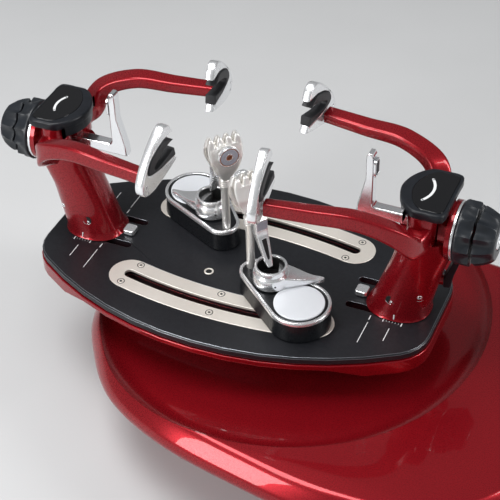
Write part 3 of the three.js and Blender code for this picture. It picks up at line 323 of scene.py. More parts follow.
STEEL_LINES = (190, 6, (1, 24, 24), 0.7)
DISC_LINES = (220, 5, (1, 16, 1), 0.7)
PLAIN_STRETCH = (1, 1, 1)
PLAIN_CONTRAST = 0.55
SOFTENING = 0.45
SOFTENING_SAMPLES = 8
TONE_STOPS = (0.3, 0.7)
PATTERN_RANGE = (0.25, 0.75)
FINISHES = {
    "red_paint": {
        "base": ((0.27, 0.005, 0.010), 0.55, 0.28), "coat": (0.5, 0.02), "specular": 0.2,
        "tones": ((3200,), (0.215, 0.0035, 0.008), (0.32, 0.0065, 0.013)),
        "grain": ((900, 2), 0.23, 0.33), "relief": ((1500, 2), 0.02, 0.02), "softening": 0.6,
    },
    "black_anodised": {
        "base": ((0.013, 0.014, 0.017), 0.3, 0.40),
        "tones": ((260, 6), (0.010, 0.011, 0.014), (0.016, 0.017, 0.021)),
        "grain": ((700, 5), 0.34, 0.46), "relief": ((2600, 3), 0.18, 0.05),
    },
    "polished_edge": {
        "base": ((0.30, 0.32, 0.35), 0.9, 0.30),
        "tones": ((90, 3), (0.27, 0.29, 0.32), (0.33, 0.35, 0.38)), "grain": ((200, 3), 0.26, 0.34),
    },
    "black_plastic": {
        "base": ((0.009, 0.010, 0.013), 0.0, 0.36), "specular": 0.28,
        "tones": ((180, 5), (0.007, 0.008, 0.011), (0.012, 0.014, 0.018)),
        "grain": ((1100, 4), 0.30, 0.43), "relief": ((3000, 3), 0.22, 0.06),
    },
    "gloss_black": {
        "base": ((0.003, 0.003, 0.004), 0.0, 0.10), "coat": (0.4, 0.02), "specular": 0.3,
        "grain": ((600, 4), 0.06, 0.14), "relief": ((60, 2), 0.02, 0.1),
    },
    "satin_black": {
        "base": ((0.008, 0.009, 0.011), 0.2, 0.30),
        "tones": ((240, 5), (0.006, 0.007, 0.009), (0.011, 0.012, 0.014)),
        "grain": ((800, 4), 0.24, 0.36), "relief": ((1800, 3), 0.10, 0.05),
    },
    "knob_black": {
        "base": ((0.011, 0.013, 0.017), 0.0, 0.34), "specular": 0.45,
        "tones": ((120, 4), (0.009, 0.011, 0.014), (0.014, 0.017, 0.022)),
        "grain": ((300, 4), 0.31, 0.38), "relief": ((1200, 3), 0.02, 0.02), "softening": 0.2,
    },
    "brushed_steel": {
        "base": ((0.86, 0.81, 0.74), 0.55, 0.42),
        "tones": (STEEL_LINES, (0.81, 0.76, 0.69), (0.91, 0.86, 0.79)),
        "grain": (STEEL_LINES, 0.36, 0.48), "relief": (STEEL_LINES, 0.04, 0.02),
    },
    "cast_steel": {
        "base": ((0.93, 0.91, 0.88), 0.76, 0.30),
        "tones": ((60, 4), (0.91, 0.89, 0.855), (0.95, 0.935, 0.91)),
        "grain": ((110, 4), 0.29, 0.38), "relief": ((320, 3), 0.04, 0.03),
    },
    "satin_metal": {
        "base": ((0.94, 0.95, 0.965), 0.86, 0.25),
        "tones": ((60, 4), (0.92, 0.93, 0.945), (0.955, 0.965, 0.98)),
        "grain": ((110, 3), 0.23, 0.28), "relief": ((300, 2), 0.01, 0.01), "softening": 0.25,
    },
    "chrome": {
        "base": ((0.92, 0.93, 0.95), 0.94, 0.12),
        "grain": ((150, 4), 0.10, 0.15), "relief": ((90, 3), 0.01, 0.02), "softening": 0.25,
    },
    "rubber": {
        "base": ((0.014, 0.014, 0.016), 0.0, 0.50),
        "tones": ((320, 5), (0.010, 0.010, 0.012), (0.020, 0.020, 0.023)),
        "grain": ((1300, 4), 0.42, 0.60), "relief": ((2600, 3), 0.30, 0.07),
    },
    "disc_face": {
        "base": ((0.86, 0.89, 0.93), 0.25, 0.40),
        "tones": (DISC_LINES, (0.84, 0.87, 0.91), (0.88, 0.91, 0.95)),
        "grain": (DISC_LINES, 0.34, 0.48), "relief": (DISC_LINES, 0.05, 0.02),
    },
    "copper": {
        "base": ((0.50, 0.20, 0.11), 0.9, 0.32),
        "tones": ((500, 4), (0.43, 0.16, 0.08), (0.57, 0.24, 0.14)), "grain": ((900, 4), 0.26, 0.4),
    },
    "grey_ring": {
        "base": ((0.40, 0.40, 0.46), 0.3, 0.38),
        "tones": ((420, 4), (0.37, 0.37, 0.43), (0.44, 0.44, 0.50)), "grain": ((900, 4), 0.32, 0.46),
    },
    "pale_mark": {
        "base": ((0.74, 0.75, 0.76), 0.0, 0.5),
        "tones": ((900, 4), (0.68, 0.69, 0.70), (0.80, 0.81, 0.82)), "grain": ((1200, 3), 0.44, 0.58),
    },
    # This finish is painted shade in the rings round screws and the bush, in sockets and holes, in the
    # collar's well, in the dial's groove and on the walls of the tray's slots; it is also the real black of
    # the cam lever's inlay and of the dot on the collar.
    "black_and_painted_shade": {"base": ((0.003, 0.003, 0.003), 0.0, 0.6), "grain": ((800, 3), 0.5, 0.7)},
    "floor_paper": {
        "base": ((0.60, 0.605, 0.61), 0.0, 0.8),
        "tones": ((3, 3), (0.56, 0.565, 0.57), (0.59, 0.595, 0.60)),
    },
}


def make_finish(name, softening=None):
    """A node material from its row of FINISHES, at times with a softening of its own."""
    row = FINISHES[name]
    material = bpy.data.materials.new(name)
    material.use_nodes = True
    tree = material.node_tree
    tree.nodes.clear()

    def add(kind, values, **sources):
        made = tree.nodes.new("ShaderNode" + kind)
        for key, value in values.items():
            made.inputs[key].default_value = value
        for key, socket in sources.items():
            tree.links.new(socket, made.inputs[key])
        return made

    def pattern(scale, detail=None, stretch=PLAIN_STRETCH, contrast=PLAIN_CONTRAST):
        if detail is None:
            return add("TexVoronoi", {"Scale": scale}, Vector=spot).outputs["Distance"]
        where = add("Mapping", {"Scale": stretch}, Vector=spot).outputs["Vector"]
        settings = {"Scale": scale, "Detail": detail, "Roughness": contrast}
        return add("TexNoise", settings, Vector=where).outputs["Fac"]

    spot = add("TexCoord", {}).outputs["Object"]
    soft = add("Bevel", {"Radius": (softening or row.get("softening", SOFTENING)) * MM})
    soft.samples = SOFTENING_SAMPLES
    colour, metallic, roughness = row["base"]
    coat, coat_roughness = row.get("coat", (0.0, 0.05))
    settings = {
        "Base Color": (*colour, 1), "Metallic": metallic, "Roughness": roughness, "Coat Weight": coat,
        "Coat Roughness": coat_roughness, "Specular IOR Level": row.get("specular", 0.5),
    }
    shader = add("BsdfPrincipled", settings, Normal=soft.outputs["Normal"])
    add("OutputMaterial", {}, Surface=shader.outputs["BSDF"])
    if "tones" in row:
        source, *tones = row["tones"]
        ramp = add("ValToRGB", {}, Fac=pattern(*source))
        for stop, position, tone in zip(ramp.color_ramp.elements, TONE_STOPS, tones):
            stop.position = position
            stop.color = (*tone, 1)
        tree.links.new(ramp.outputs["Color"], shader.inputs["Base Color"])
    if "grain" in row:
        source, low, high = row["grain"]
        first, last = PATTERN_RANGE
        settings = {"From Min": first, "From Max": last, "To Min": low, "To Max": high}
        spread = add("MapRange", settings, Value=pattern(*source))
        tree.links.new(spread.outputs["Result"], shader.inputs["Roughness"])
    if "relief" in row:
        source, strength, depth = row["relief"]
        settings = {"Strength": strength, "Distance": depth * MM}
        bump = add("Bump", settings, Height=pattern(*source), Normal=soft.outputs["Normal"])
        tree.links.new(bump.outputs["Normal"], shader.inputs["Normal"])
    return material


# The finish of each material slot, and the finishes that only this script has

LOOK = {
    "red_paint": make_finish("red_paint"),
    "black_anodised": make_finish("black_anodised"),
    "black_plastic": make_finish("black_plastic"),
    "gloss_black": make_finish("gloss_black"),
    "steel": make_finish("cast_steel"),
    "satin_metal": make_finish("satin_metal"),
    "chrome": make_finish("chrome"),
    "black_rubber": make_finish("rubber"),
    "disc_face": make_finish("disc_face"),
}
HOUSING_RED = make_finish("red_paint", softening=2.4)
KNOB = make_finish("knob_black")
SLOT_STEEL = make_finish("brushed_steel")
EDGE = make_finish("polished_edge")
BASE_BLACK = make_finish("satin_black")
COPPER = make_finish("copper")
GREY = make_finish("grey_ring")
MARK = make_finish("pale_mark")
# Painted shade for hollows, and the real black of the cam lever's inlay and the collar's dot
BLACK_AND_SHADE = make_finish("black_and_painted_shade")
RED = LOOK["red_paint"]
BLACK = LOOK["black_plastic"]
GLOSS = LOOK["gloss_black"]
CAST = LOOK["steel"]
SATIN = LOOK["satin_metal"]
CHROME = LOOK["chrome"]
RUBBER = LOOK["black_rubber"]
SHADES = {"dark": BLACK_AND_SHADE, "satin": SATIN, "slot_steel": SLOT_STEEL, "copper": COPPER, "grey": GREY}

# Lines and outlines

CURVE_STEPS = 40
SHORTEST = 1e-9
LEAST_TURN = 0.6


def along_curve(points, count, closed=False, start=0.0):
    """Evenly spaced points on a centripetal Catmull-Rom curve through the given ones."""
    points = [Vector(point) for point in points]
    total = len(points)
    spans = total if closed else total - 1
    fine = []
    for step in range(spans * CURVE_STEPS + 1):
        index, weight = divmod(step / CURVE_STEPS, 1)
        index = int(index)
        if not closed and index >= spans:
            index, weight = spans - 1, 1.0
        b, c = points[index % total], points[(index + 1) % total]
        a = points[(index - 1) % total] if closed or index > 0 else 2 * b - c
        d = points[(index + 2) % total] if closed or index + 2 < total else 2 * c - b
        fine.append(hermite(a, b, c, d, weight))
    lengths = [0.0]
    for one, other in zip(fine, fine[1:]):
        lengths.append(lengths[-1] + (other - one).length)
    steps = count if closed else count - 1
    made = []
    place = 0
    for number in range(count):
        target = lengths[-1] * (start + (1 - start) * number / steps)
        while place < len(lengths) - 2 and lengths[place + 1] < target:
            place += 1
        gap = lengths[place + 1] - lengths[place]
        made.append(fine[place].lerp(fine[place + 1], (target - lengths[place]) / gap if gap else 0))
    return made


def hermite(a, b, c, d, weight):
    """A point between b and c on the centripetal curve through a, b, c and d."""
    ab, bc, cd = (max((q - p).length, SHORTEST) ** 0.5 for p, q in ((a, b), (b, c), (c, d)))
    leave = ((b - a) / ab - (c - a) / (ab + bc) + (c - b) / bc) * bc
    arrive = ((c - b) / bc - (d - b) / (bc + cd) + (d - c) / cd) * bc
    return span(b, c, leave, arrive, weight)


def span(b, c, leave, arrive, t):
    """A point on the cubic from b to c that leaves and arrives along the given tangents."""
    return (
        b * (2 * t**3 - 3 * t**2 + 1)
        + leave * (t**3 - 2 * t**2 + t)
        + c * (3 * t**2 - 2 * t**3)
        + arrive * (t**3 - t**2)
    )


def smooth_step(value):
    t = min(1, max(0, value))
    return t * t * (3 - 2 * t)


def squared_off(angle, powers):
    """The cosine and the sine of an angle, each raised to a power, for rounder or squarer sections."""
    parts = zip((cos(angle), sin(angle)), powers)
    return [copysign(abs(part) ** power, part) for part, power in parts]


def inset_outline(points, distance):
    """A closed outline moved inwards by an even distance."""
    area = sum(a.x * b.y - b.x * a.y for a, b in zip(points, points[1:] + points[:1]))
    turn = 1 if area > 0 else -1
    made = []
    for index, point in enumerate(points):
        before = (point - points[index - 1]).normalized()
        after = (points[(index + 1) % len(points)] - point).normalized()
        first = Vector((-before.y, before.x)) * turn
        second = Vector((-after.y, after.x)) * turn
        made.append(point + (first + second) * (distance / max(1 + first.dot(second), LEAST_TURN)))
    return made


def arc(x, y, radius, start, end, steps):
    """Points of an arc in millimetres, from one angle to another in radians."""
    made = []
    for step in range(steps + 1):
        angle = start + (end - start) * step / steps
        made.append(Vector((x + radius * cos(angle), y + radius * sin(angle))))
    return made


def rounded_corners(shares, reach=0.28, steps=3):
    """A closed outline of shares with each corner drawn as a short curve."""
    made = []
    for index, (x, y) in enumerate(shares):
        corner = Vector((x, y))
        before = corner.lerp(Vector(shares[index - 1]), reach)
        after = corner.lerp(Vector(shares[(index + 1) % len(shares)]), reach)
        for step in range(steps + 1):
            t = step / steps
            made.append(before * (1 - t) ** 2 + corner * 2 * t * (1 - t) + after * t**2)
    return made


def rounded_box(half_length, half_width, radius, steps=6):
    x, y = half_length - radius, half_width - radius
    made = []
    for number, (across, along) in enumerate(((x, y), (-x, y), (-x, -y), (x, -y))):
        made += arc(across, along, radius, number * pi / 2, (number + 1) * pi / 2, steps)
    return made


def plain_box(half_width, half_length, x=0.0, y=0.0):
    corners = ((-1, -1), (1, -1), (1, 1), (-1, 1))
    return [Vector((x + across * half_width, y + along * half_length)) for across, along in corners]


def raised(outline, height):
    """A flat outline in millimetres as a ring in metres."""
    return [Vector((p.x * MM, p.y * MM, height * MM)) for p in outline]


# Pieces


def link(data, name):
    made = bpy.data.objects.new(name, data)
    bpy.context.scene.collection.objects.link(made)
    return made


def shade(mesh, crease):
    mesh.shade_smooth()
    mesh.set_sharp_from_angle(angle=radians(crease))


def stands_for(node):
    """Hides a CAD solid, whose place a piece of this script takes."""
    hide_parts(node)


def dressed(node, material, edge=None, inside=None, is_inside=None):
    """A finer copy of a CAD solid with merged corners, rounded edges and smooth shading.

    Its rounded edges, and the faces that is_inside picks, may have finishes of their own.
    """
    width, crease = ROUNDING.get(node, DEFAULT_ROUNDING)
    grid = bmesh.new()
    grid.from_mesh(frame["nodes"][node].data)
    bmesh.ops.remove_doubles(grid, verts=grid.verts, dist=MERGE_DISTANCE * MM)
    bmesh.ops.dissolve_limit(grid, angle_limit=radians(FLAT_ANGLE), verts=grid.verts, edges=grid.edges)
    mesh = bpy.data.meshes.new(node + "_form")
    grid.to_mesh(mesh)
    grid.free()
    piece = link(mesh, node + "_form")
    shade(mesh, crease)
    bevel = piece.modifiers.new("round", "BEVEL")
    bevel.width = width * MM
    bevel.segments = 2
    bevel.limit_method = "ANGLE"
    bevel.angle_limit = radians(crease)
    bevel.harden_normals = True
    piece.modifiers.new("weighted", "WEIGHTED_NORMAL").keep_sharp = True
    mesh.materials.clear()
    for finish in (material, edge, inside):
        if finish is not None:
            mesh.materials.append(finish)
    if edge is not None:
        bevel.material = 1
    if inside is not None:
        for face in mesh.polygons:
            if is_inside(face):
                face.material_index = len(mesh.materials) - 1
    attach(piece, BODY_OF[node])
    stands_for(node)


def from_rings(name, rings, material, body, place=None, closed=True, crease=40, node=None, slot=None):
    """A solid lofted through rings of equally many points, with flat ends where it's closed.

    It stands for a CAD node where one is given; the slot argument is not used.
    """
    grid = bmesh.new()
    rows = [[grid.verts.new(point) for point in ring] for ring in rings]
    count = len(rings[0])
    for low, high in zip(rows, rows[1:]):
        for i in range(count):
            j = (i + 1) % count
            grid.faces.new((low[i], low[j], high[j], high[i]))
    if closed:
        grid.faces.new(list(reversed(rows[0])))
        grid.faces.new(rows[-1])
    bmesh.ops.remove_doubles(grid, verts=grid.verts, dist=FORM_MERGE_DISTANCE * MM)
    bmesh.ops.recalc_face_normals(grid, faces=grid.faces)
    mesh = bpy.data.meshes.new(name)
    grid.to_mesh(mesh)
    grid.free()
    if place is not None:
        mesh.transform(place)
    shade(mesh, crease)
    for face in mesh.polygons:
        if len(face.vertices) > 4:
            face.use_smooth = False
    mesh.materials.append(material)
    piece = link(mesh, name)
    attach(piece, body)
    if node is not None:
        stands_for(node)
    return piece


def turned(name, profile, material, body, place=None, segments=48, **more):
    """A turned piece about Z through (radius, height) pairs given in millimetres."""
    rings = [raised(arc(0, 0, radius, 0, 2 * pi, segments)[:-1], height) for radius, height in profile]
    return from_rings(name, rings, material, body, place, **more)


def fitted(name, parts, body, place, **more):
    """Turned pieces on one axis, from rows of label, profile, shade and number of sides."""
    for label, profile, shade_name, sides in parts:
        turned(name + label, profile, SHADES[shade_name], body, place, sides, **more)


def flat_piece(name, outline, levels, material, body, place=None, **more):
    """An upright plate of one outline between two levels, all in millimetres."""
    return from_rings(name, [raised(outline, level) for level in levels], material, body, place, **more)


def band(name, radius, width, angles, levels, material, body, place, steps=28, **more):
    """A bar bent along an arc, between two angles in degrees and two levels."""
    start, end = angles
    low, high = levels
    inner, outer = radius - width / 2, radius + width / 2
    rings = []
    for step in range(steps + 1):
        angle = radians(start + (end - start) * step / steps)
        out = Vector((cos(angle), sin(angle), 0))
        corners = ((inner, low), (outer, low), (outer, high), (inner, high))
        rings.append([(out * reach + Vector((0, 0, level))) * MM for reach, level in corners])
    return from_rings(name, rings, material, body, place, **more)


def corners():
    """Each side and place with its sign along X and along Y."""
    for side, sign in SIDES.items():
        for place, way in PLACES.items():
            yield side, sign, place, way


def shifted(x, y, z=0.0):
    return Matrix.Translation(Vector((x, y, z)) * MM)


def turned_by(angle, axis="Z"):
    return Matrix.Rotation(radians(angle), 4, axis)


def facing(point, direction):
    """A frame at a point in metres with its Z along a direction."""
    turn = Vector(direction).normalized().to_track_quat("Z", "Y").to_matrix().to_4x4()
    return Matrix.Translation(point) @ turn


def on_wall(point, normal):
    """A frame on a wall with its Z out of the wall and its Y up along it."""
    out = Vector(normal).normalized()
    up = (Vector((0, 0, 1)) - out * out.z).normalized()
    turn = Matrix((up.cross(out), up, out)).transposed().to_4x4()
    return Matrix.Translation(point) @ turn


def ray_finder(node):
    """A function for the point and the normal where a line first meets a CAD solid, None if nowhere."""
    data = frame["nodes"][node].data
    corners = [vertex.co.copy() for vertex in data.vertices]
    tree = BVHTree.FromPolygons(corners, [list(face.vertices) for face in data.polygons])
    return lambda start, direction: tree.ray_cast(Vector(start), Vector(direction))[:2]


# Solids that are shown by a copy of their own form


def near_slots(face):
    """Whether a face of the tray is a wall of one of its slots."""
    x, y = abs(face.center.x), abs(face.center.y)
    near, far = TRAY_SLOTS.near_y * MM, TRAY_SLOTS.far_y * MM
    return abs(face.normal.z) < 0.5 and x < TRAY_SLOTS.x * MM and near < y < far


def dress_solids():
    for node in ("base_plate", "bearing_ring_fixed", "turntable_hub"):
        dressed(node, LOOK[SLOT_OF[node]])
    # The walls of the tray's slots are painted black, as painted shade.
    dressed("turntable_tray", RED, inside=BLACK_AND_SHADE, is_inside=near_slots)
    dressed("top_plate", LOOK["black_anodised"], edge=EDGE)
    kinds = {"mast": RED, "knob_collar": SATIN, "slide_key": SATIN, "inner_support": CHROME}
    for side in SIDES:
        for kind, finish in kinds.items():
            dressed(f"{side}_{kind}", finish)
        dressed(f"{side}_lock_lever", BLACK)
    for place in PLACES:
        dressed(f"clamp_{place}_foot", CAST)


# Housing


def housing_plan(taper, count=224):
    """The housing's plan, from its widest line at 0 to its pedestal at 1."""
    corners = []
    for x, y in PLAN_SHARES:
        reaches = []
        for side in ("left" if x < 0 else "right", "front" if y < 0 else "rear"):
            reaches.append(WIDEST[side] + (PEDESTAL[side] - WIDEST[side]) * taper)
        corners.append((x * reaches[0], y * reaches[1]))
    return along_curve(corners, count, closed=True)


def housing_rings():
    """Rings of the moulded wall, drawn as one smooth line from foot to crest at every point."""
    size = HOUSING
    outlines = [housing_plan(taper) for taper in HOUSING_TAPERS]
    widest = outlines[-1]
    outlines += [inset_outline(widest, size.lip_inset), inset_outline(widest, size.rim_inset)]
    rings = [[] for _ in range(sum(HOUSING_STEPS) + 1)]
    for index, spot in enumerate(widest):
        drop = size.left_drop * (1 - smooth_step((spot.x + WIDEST["left"]) / size.drop_length))
        line = []
        for number, (outline, level) in enumerate(zip(outlines, HOUSING_LEVELS)):
            lower = drop if number >= HOUSING_TAPERS.index(0) else 0
            line.append(Vector((outline[index].x, outline[index].y, level - lower)))
        tangents = [line[1] - line[0], (line[2] - line[0]) / 2, (line[3] - line[1]) / 2]
        tangents += [Vector((0, 0, (line[4].z - line[2].z) / 2)), (line[5] - line[3]) / 2]
        last = (line[5] - line[4]) * size.crest_pull
        tangents.append(Vector((last.x, last.y, 0)))
        points = []
        for number, count in enumerate(HOUSING_STEPS):
            ends = line[number : number + 2] + tangents[number : number + 2]
            points += [span(*ends, step / count) for step in range(count)]
        for ring, point in zip(rings, points + [line[-1]]):
            ring.append(point * MM)
    return rings


def dish_profile():
    """The bowl sunk into the deck, as (radius, height) pairs with room above the deck."""
    size = HOUSING
    deck = HOUSING_LEVELS[-1]
    floor_level = deck - size.dish_depth
    reach = size.dish_radius - size.dish_floor_radius
    profile = [(AXIS_POINT, floor_level)]
    for step in range(size.dish_steps + 1):
        turn = pi / 2 * step / size.dish_steps
        rise = size.dish_depth * (1 - cos(turn))
        profile.append((size.dish_floor_radius + reach * sin(turn), floor_level + rise))
    over = deck + size.cut_over
    return profile + [(size.dish_radius + size.cut_flare, over), (AXIS_POINT, over)]


def housing():
    body = from_rings("housing_form", housing_rings(), HOUSING_RED, "housing", crease=HOUSING_CREASE)
    at = shifted(HOUSING.dish_centre, 0)
    tool = turned("bowl_tool", dish_profile(), HOUSING_RED, "housing", at, 160)
    cut = body.modifiers.new("bowl", "BOOLEAN")
    cut.operation = "DIFFERENCE"
    cut.solver = "EXACT"
    cut.object = tool
    graph = bpy.context.evaluated_depsgraph_get()
    made = bpy.data.meshes.new_from_object(body.evaluated_get(graph), depsgraph=graph)
    spare = [body.data, tool.data]
    body.modifiers.clear()
    body.data = made
    bpy.data.objects.remove(tool)
    for mesh in spare:
        bpy.data.meshes.remove(mesh)
    shade(made, HOUSING_CREASE)
    stands_for("housing_body")


# Slot plates


def slot_band(width, way, long_steps=48, end_steps=20):
    """An outline round the slot's middle line, for the front slot at -1 and the rear one at 1."""
    radius = SLOT.radius
    half = asin(SLOT.reach / radius)
    first, last = way * pi / 2 - half, way * pi / 2 + half
    y = -way * (radius - SLOT.centre)
    outline = arc(0, y, radius + width / 2, first, last, long_steps)
    outline += arc(radius * cos(last), y + radius * sin(last), width / 2, last, last + pi, end_steps)[1:-1]
    outline += arc(0, y, radius - width / 2, last, first, long_steps)
    x, y = radius * cos(first), y + radius * sin(first)
    return outline + arc(x, y, width / 2, first + pi, first + 2 * pi, end_steps)[1:-1]


def slot_plates():
    top, edge, wide, narrow = SLOT_PLATE_TOP / MM, SLOT.edge, SLOT.band, SLOT.width
    low = top - SLOT.plate
    rows = [
        (wide, low), (wide, top - edge), (wide - edge * 2, top), (narrow + edge * 2, top),
        (narrow, top - edge), (narrow, low), (wide, low),
    ]
    for place, way in PLACES.items():
        node = f"slot_plate_{place}"
        rings = [raised(slot_band(width, way), height) for width, height in rows]
        from_rings(f"{node}_form", rings, SLOT_STEEL, "turntable", closed=False, node=node)


# Masts and their covers


def mast_ring(height, half_length, half_width, sign, count=80):
    x = MAST.base_x + (MAST.neck_x - MAST.base_x) * min(1, height / MAST.neck_height)
    ring = []
    for step in range(count):
        px, py = squared_off(2 * pi * step / count, MAST.powers)
        along = x + (half_length + MAST.skin) * px
        ring.append(Vector((sign * along, (half_width + MAST.skin) * py, TABLE_TOP / MM + height)) * MM)
    return ring


def mast_skins():
    """A smooth painted skin over the column of each mast."""
    for side, sign in SIDES.items():
        rings = [mast_ring(*level, sign) for level in MAST_LEVELS]
        from_rings(f"{side}_mast_skin", rings, RED, f"{side}_mast", crease=45, slot="red_paint")


def cover_outline(half_length, half_width, shift=0.0, count=112):
    mirrored = [(x, -y) for x, y in reversed(COVER_SHARES[1:-1])]
    corners = [(x * half_length + shift, y * half_width) for x, y in COVER_SHARES + mirrored]
    return along_curve(corners, count, closed=True)


def covers():
    """Moulded covers with a deep skirt on their inner side and a glossy plate let in on top."""
    size = COVER
    long, wide, top, curve = size.half_length, size.half_width, size.top, size.round
    plate_length = long - (size.band + size.outer_inset) / 2
    plate_width = wide - size.side_inset
    plate_shift = (size.band - size.outer_inset) / 2

    def plan(inset):
        return cover_outline(long - inset, wide - inset)

    def skirt(inset):
        return [Vector((min(p.x, size.skirt_end - size.x), p.y)) for p in plan(inset)]

    def bed(inset):
        return cover_outline(plate_length - inset, plate_width - inset, plate_shift)

    shell = [(plan(inset), height) for inset, height in COVER_SIDE]
    for turn in COVER_TURNS:
        shell.append((plan(curve * (1 - cos(radians(turn)))), top - curve + curve * sin(radians(turn))))
    shell += [(bed(-size.gap), top), (bed(-size.gap), size.sunk)]
    apron = [(skirt(inset), height) for inset, height in COVER_SKIRT]
    inlay = [(bed(inset), height) for inset, height in COVER_PLATE]
    for side, sign in SIDES.items():
        for name, rows, finish, crease, shown in (
            (f"{side}_cover_form", shell, BLACK, 35, {"node": f"{side}_head_cover"}),
            (f"{side}_cover_skirt", apron, BLACK, 35, {"slot": "black_plastic"}),
            (f"{side}_inlay_form", inlay, GLOSS, 50, {"node": f"{side}_cover_inlay"}),
        ):
            rings = []
            for outline, height in rows:
                level = TABLE_TOP + height * MM
                rings.append([Vector((sign * (size.x + p.x) * MM, p.y * MM, level)) for p in outline])
            from_rings(name, rings, finish, f"{side}_mast", crease=crease, **shown)


def cover_marks():
    """One plain arc on the glossy plate of each cover."""
    levels = (0.0, COVER_ARC.height)
    end_radius = COVER_ARC.width / 2
    for side, (centre, radius, reach) in COVER_ARCS.items():
        name, body = f"{side}_cover_mark", f"{side}_mast"
        at = Matrix.Translation((centre * MM, 0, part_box(f"{side}_cover_inlay")[1].z))
        middle = 180 if side == "left" else 0
        angles = (middle - reach, middle + reach)
        band(name, radius, COVER_ARC.width, angles, levels, MARK, body, at, slot="gloss_black")
        for end, angle in zip((-1, 1), angles):
            tip = at @ shifted(radius * cos(radians(angle)), radius * sin(radians(angle)))
            profile = [(end_radius, level) for level in levels]
            turned(f"{name}_end_{end + 1}", profile, MARK, body, tip, 24)


# Knobs


def fluted_ring(x, radius, depth, sign, count=192):
    ring = []
    for step in range(count):
        angle = 2 * pi * step / count
        reach = radius - depth * abs(sin(angle * KNOB_FLUTES / 2))
        height = TABLE_TOP / MM + KNOB_AXIS + reach * sin(angle)
        ring.append(Vector((sign * x, reach * cos(angle), height)) * MM)
    return ring


def knobs():
    """Two scooped knobs on each mast, with sharp ridges between the scoops."""
    first, last, end = KNOB_INNER[0][0], KNOB_INNER[-1][0], KNOB_OUTER[-1][0]
    floor_x = end - KNOB_DISH.depth
    inner = [(first, KNOB_BORE, 0), *KNOB_INNER, (last, KNOB_BORE, 0), (first, KNOB_BORE, 0)]
    outer = [(KNOB_BACK, AXIS_POINT, 0), (KNOB_BACK, KNOB_BORE, 0), (KNOB_OUTER[0][0], KNOB_BORE, 0)]
    outer += [*KNOB_OUTER, (end, KNOB_DISH.rim, 0), (floor_x, KNOB_DISH.floor, 0)]
    outer.append((floor_x, AXIS_POINT, 0))
    for side, sign in SIDES.items():
        for kind, rows, closed in (("inner", inner, False), ("outer", outer, True)):
            node = f"{side}_knob_{kind}"
            rings = [fluted_ring(*row, sign) for row in rows]
            from_rings(f"{node}_form", rings, KNOB, node, closed=closed, crease=24, node=node)
        at = facing((sign * (end - KNOB_CAP_DEPTH) * MM, 0, TABLE_TOP + KNOB_AXIS * MM), (sign, 0, 0))
        turned(f"{side}_knob_cap", KNOB_CAP, SATIN, f"{side}_knob_outer", at, slot="satin_metal")


# Arms and holders


def arm_size(index, share):
    root, middle, tip = ARM.root[index], ARM.middle[index], ARM.tip[index]
    turn = ARM.middle_share
    if share < turn:
        return root + (middle - root) * smooth_step(share / turn)
    return middle + (tip - middle) * (share - turn) / (1 - turn)


def arm_rings(sign, way, count=84):
    """Rings of the curved arm, whose section has a tall outer and a lower inner face."""
    size = ARM
    middle = size.low + size.root[1] / 2
    hx, hy, reach = size.hinge_x, size.hinge_y, size.boss_radius
    (ex, ey, ez), (sx, sy, sz), (tx, ty, tz) = size.elbow, size.shoulder, size.tip_place
    line = [(hx, hy, middle), (hx, hy + reach, middle), (hx - (hx - ex) / 4, (hy + reach + ey) / 2, middle)]
    line += [(ex, ey, ez), (sx, sy, sz), ((sx + tx) / 2, (sy + ty) / 2, (sz * 2 + tz) / 3), (tx, ty, tz)]
    path = along_curve(line, count, start=size.start_share)
    section = rounded_corners(ARM_SECTION_SHARES)
    rings = []
    for index, centre in enumerate(path):
        along = (path[min(index + 1, count - 1)] - path[max(index - 1, 0)]).normalized()
        outward = Vector((along.y, -along.x, 0)).normalized()
        upward = along.cross(outward).normalized()
        if upward.z < 0:
            upward.negate()
        share = size.start_share + (1 - size.start_share) * index / (count - 1)
        width, height = arm_size(0, share) / 2, arm_size(1, share) / 2
        ring = []
        for p in section:
            point = centre + outward * (p.x * width) + upward * (p.y * height)
            ring.append(Vector((sign * point.x * MM, way * point.y * MM, TABLE_TOP + point.z * MM)))
        rings.append(ring)
    return rings


def arms():
    low, high, wide, bore = ARM.low, ARM.boss_top, ARM.boss_radius, ARM.bore
    edge, corner = ARM.edge, ARM.corner
    boss = [
        (bore, low), (wide - edge, low), (wide - corner, low + corner), (wide, low + edge),
        (wide, high - edge), (wide - corner, high - corner), (wide - edge, high), (bore, high), (bore, low),
    ]
    radius, reach, blunt = ARM.stub_radius, ARM.stub_length, ARM.stub_edge
    stub = [(radius - blunt, -reach), (radius, -reach + blunt), (radius, reach)]
    x, y, z = ARM.tip_place
    yaw = radians(HOLDER.yaw)
    for side, sign, place, way in corners():
        body = f"{side}_arm_{place}"
        from_rings(f"{body}_form", arm_rings(sign, way), RED, body, crease=38, node=body)
        at = shifted(sign * ARM.hinge_x, way * ARM.hinge_y, TABLE_TOP / MM)
        turned(f"{body}_boss", boss, RED, body, at, 64, closed=False, slot="red_paint")
        tip = (sign * x * MM, way * y * MM, TABLE_TOP + z * MM)
        at = facing(tip, (sign * cos(yaw), -way * sin(yaw), 0))
        turned(f"{body}_stub", stub, SATIN, body, at, 32, slot="red_paint")


def holder_line(shares, count, shift=0.0):
    """An open line of the holder in its own plane, moved sideways by an even distance."""
    inner, bottom = HOLDER.inner, HOLDER.bottom
    deep, tall = HOLDER.outer - inner, HOLDER.top - bottom
    line = along_curve([(inner + y * deep, bottom + z * tall) for y, z in shares], count)
    made = []
    for index, point in enumerate(line):
        along = (line[min(index + 1, count - 1)] - line[max(index - 1, 0)]).normalized()
        made.append(point + Vector((-along.y, along.x)) * shift)
    return made


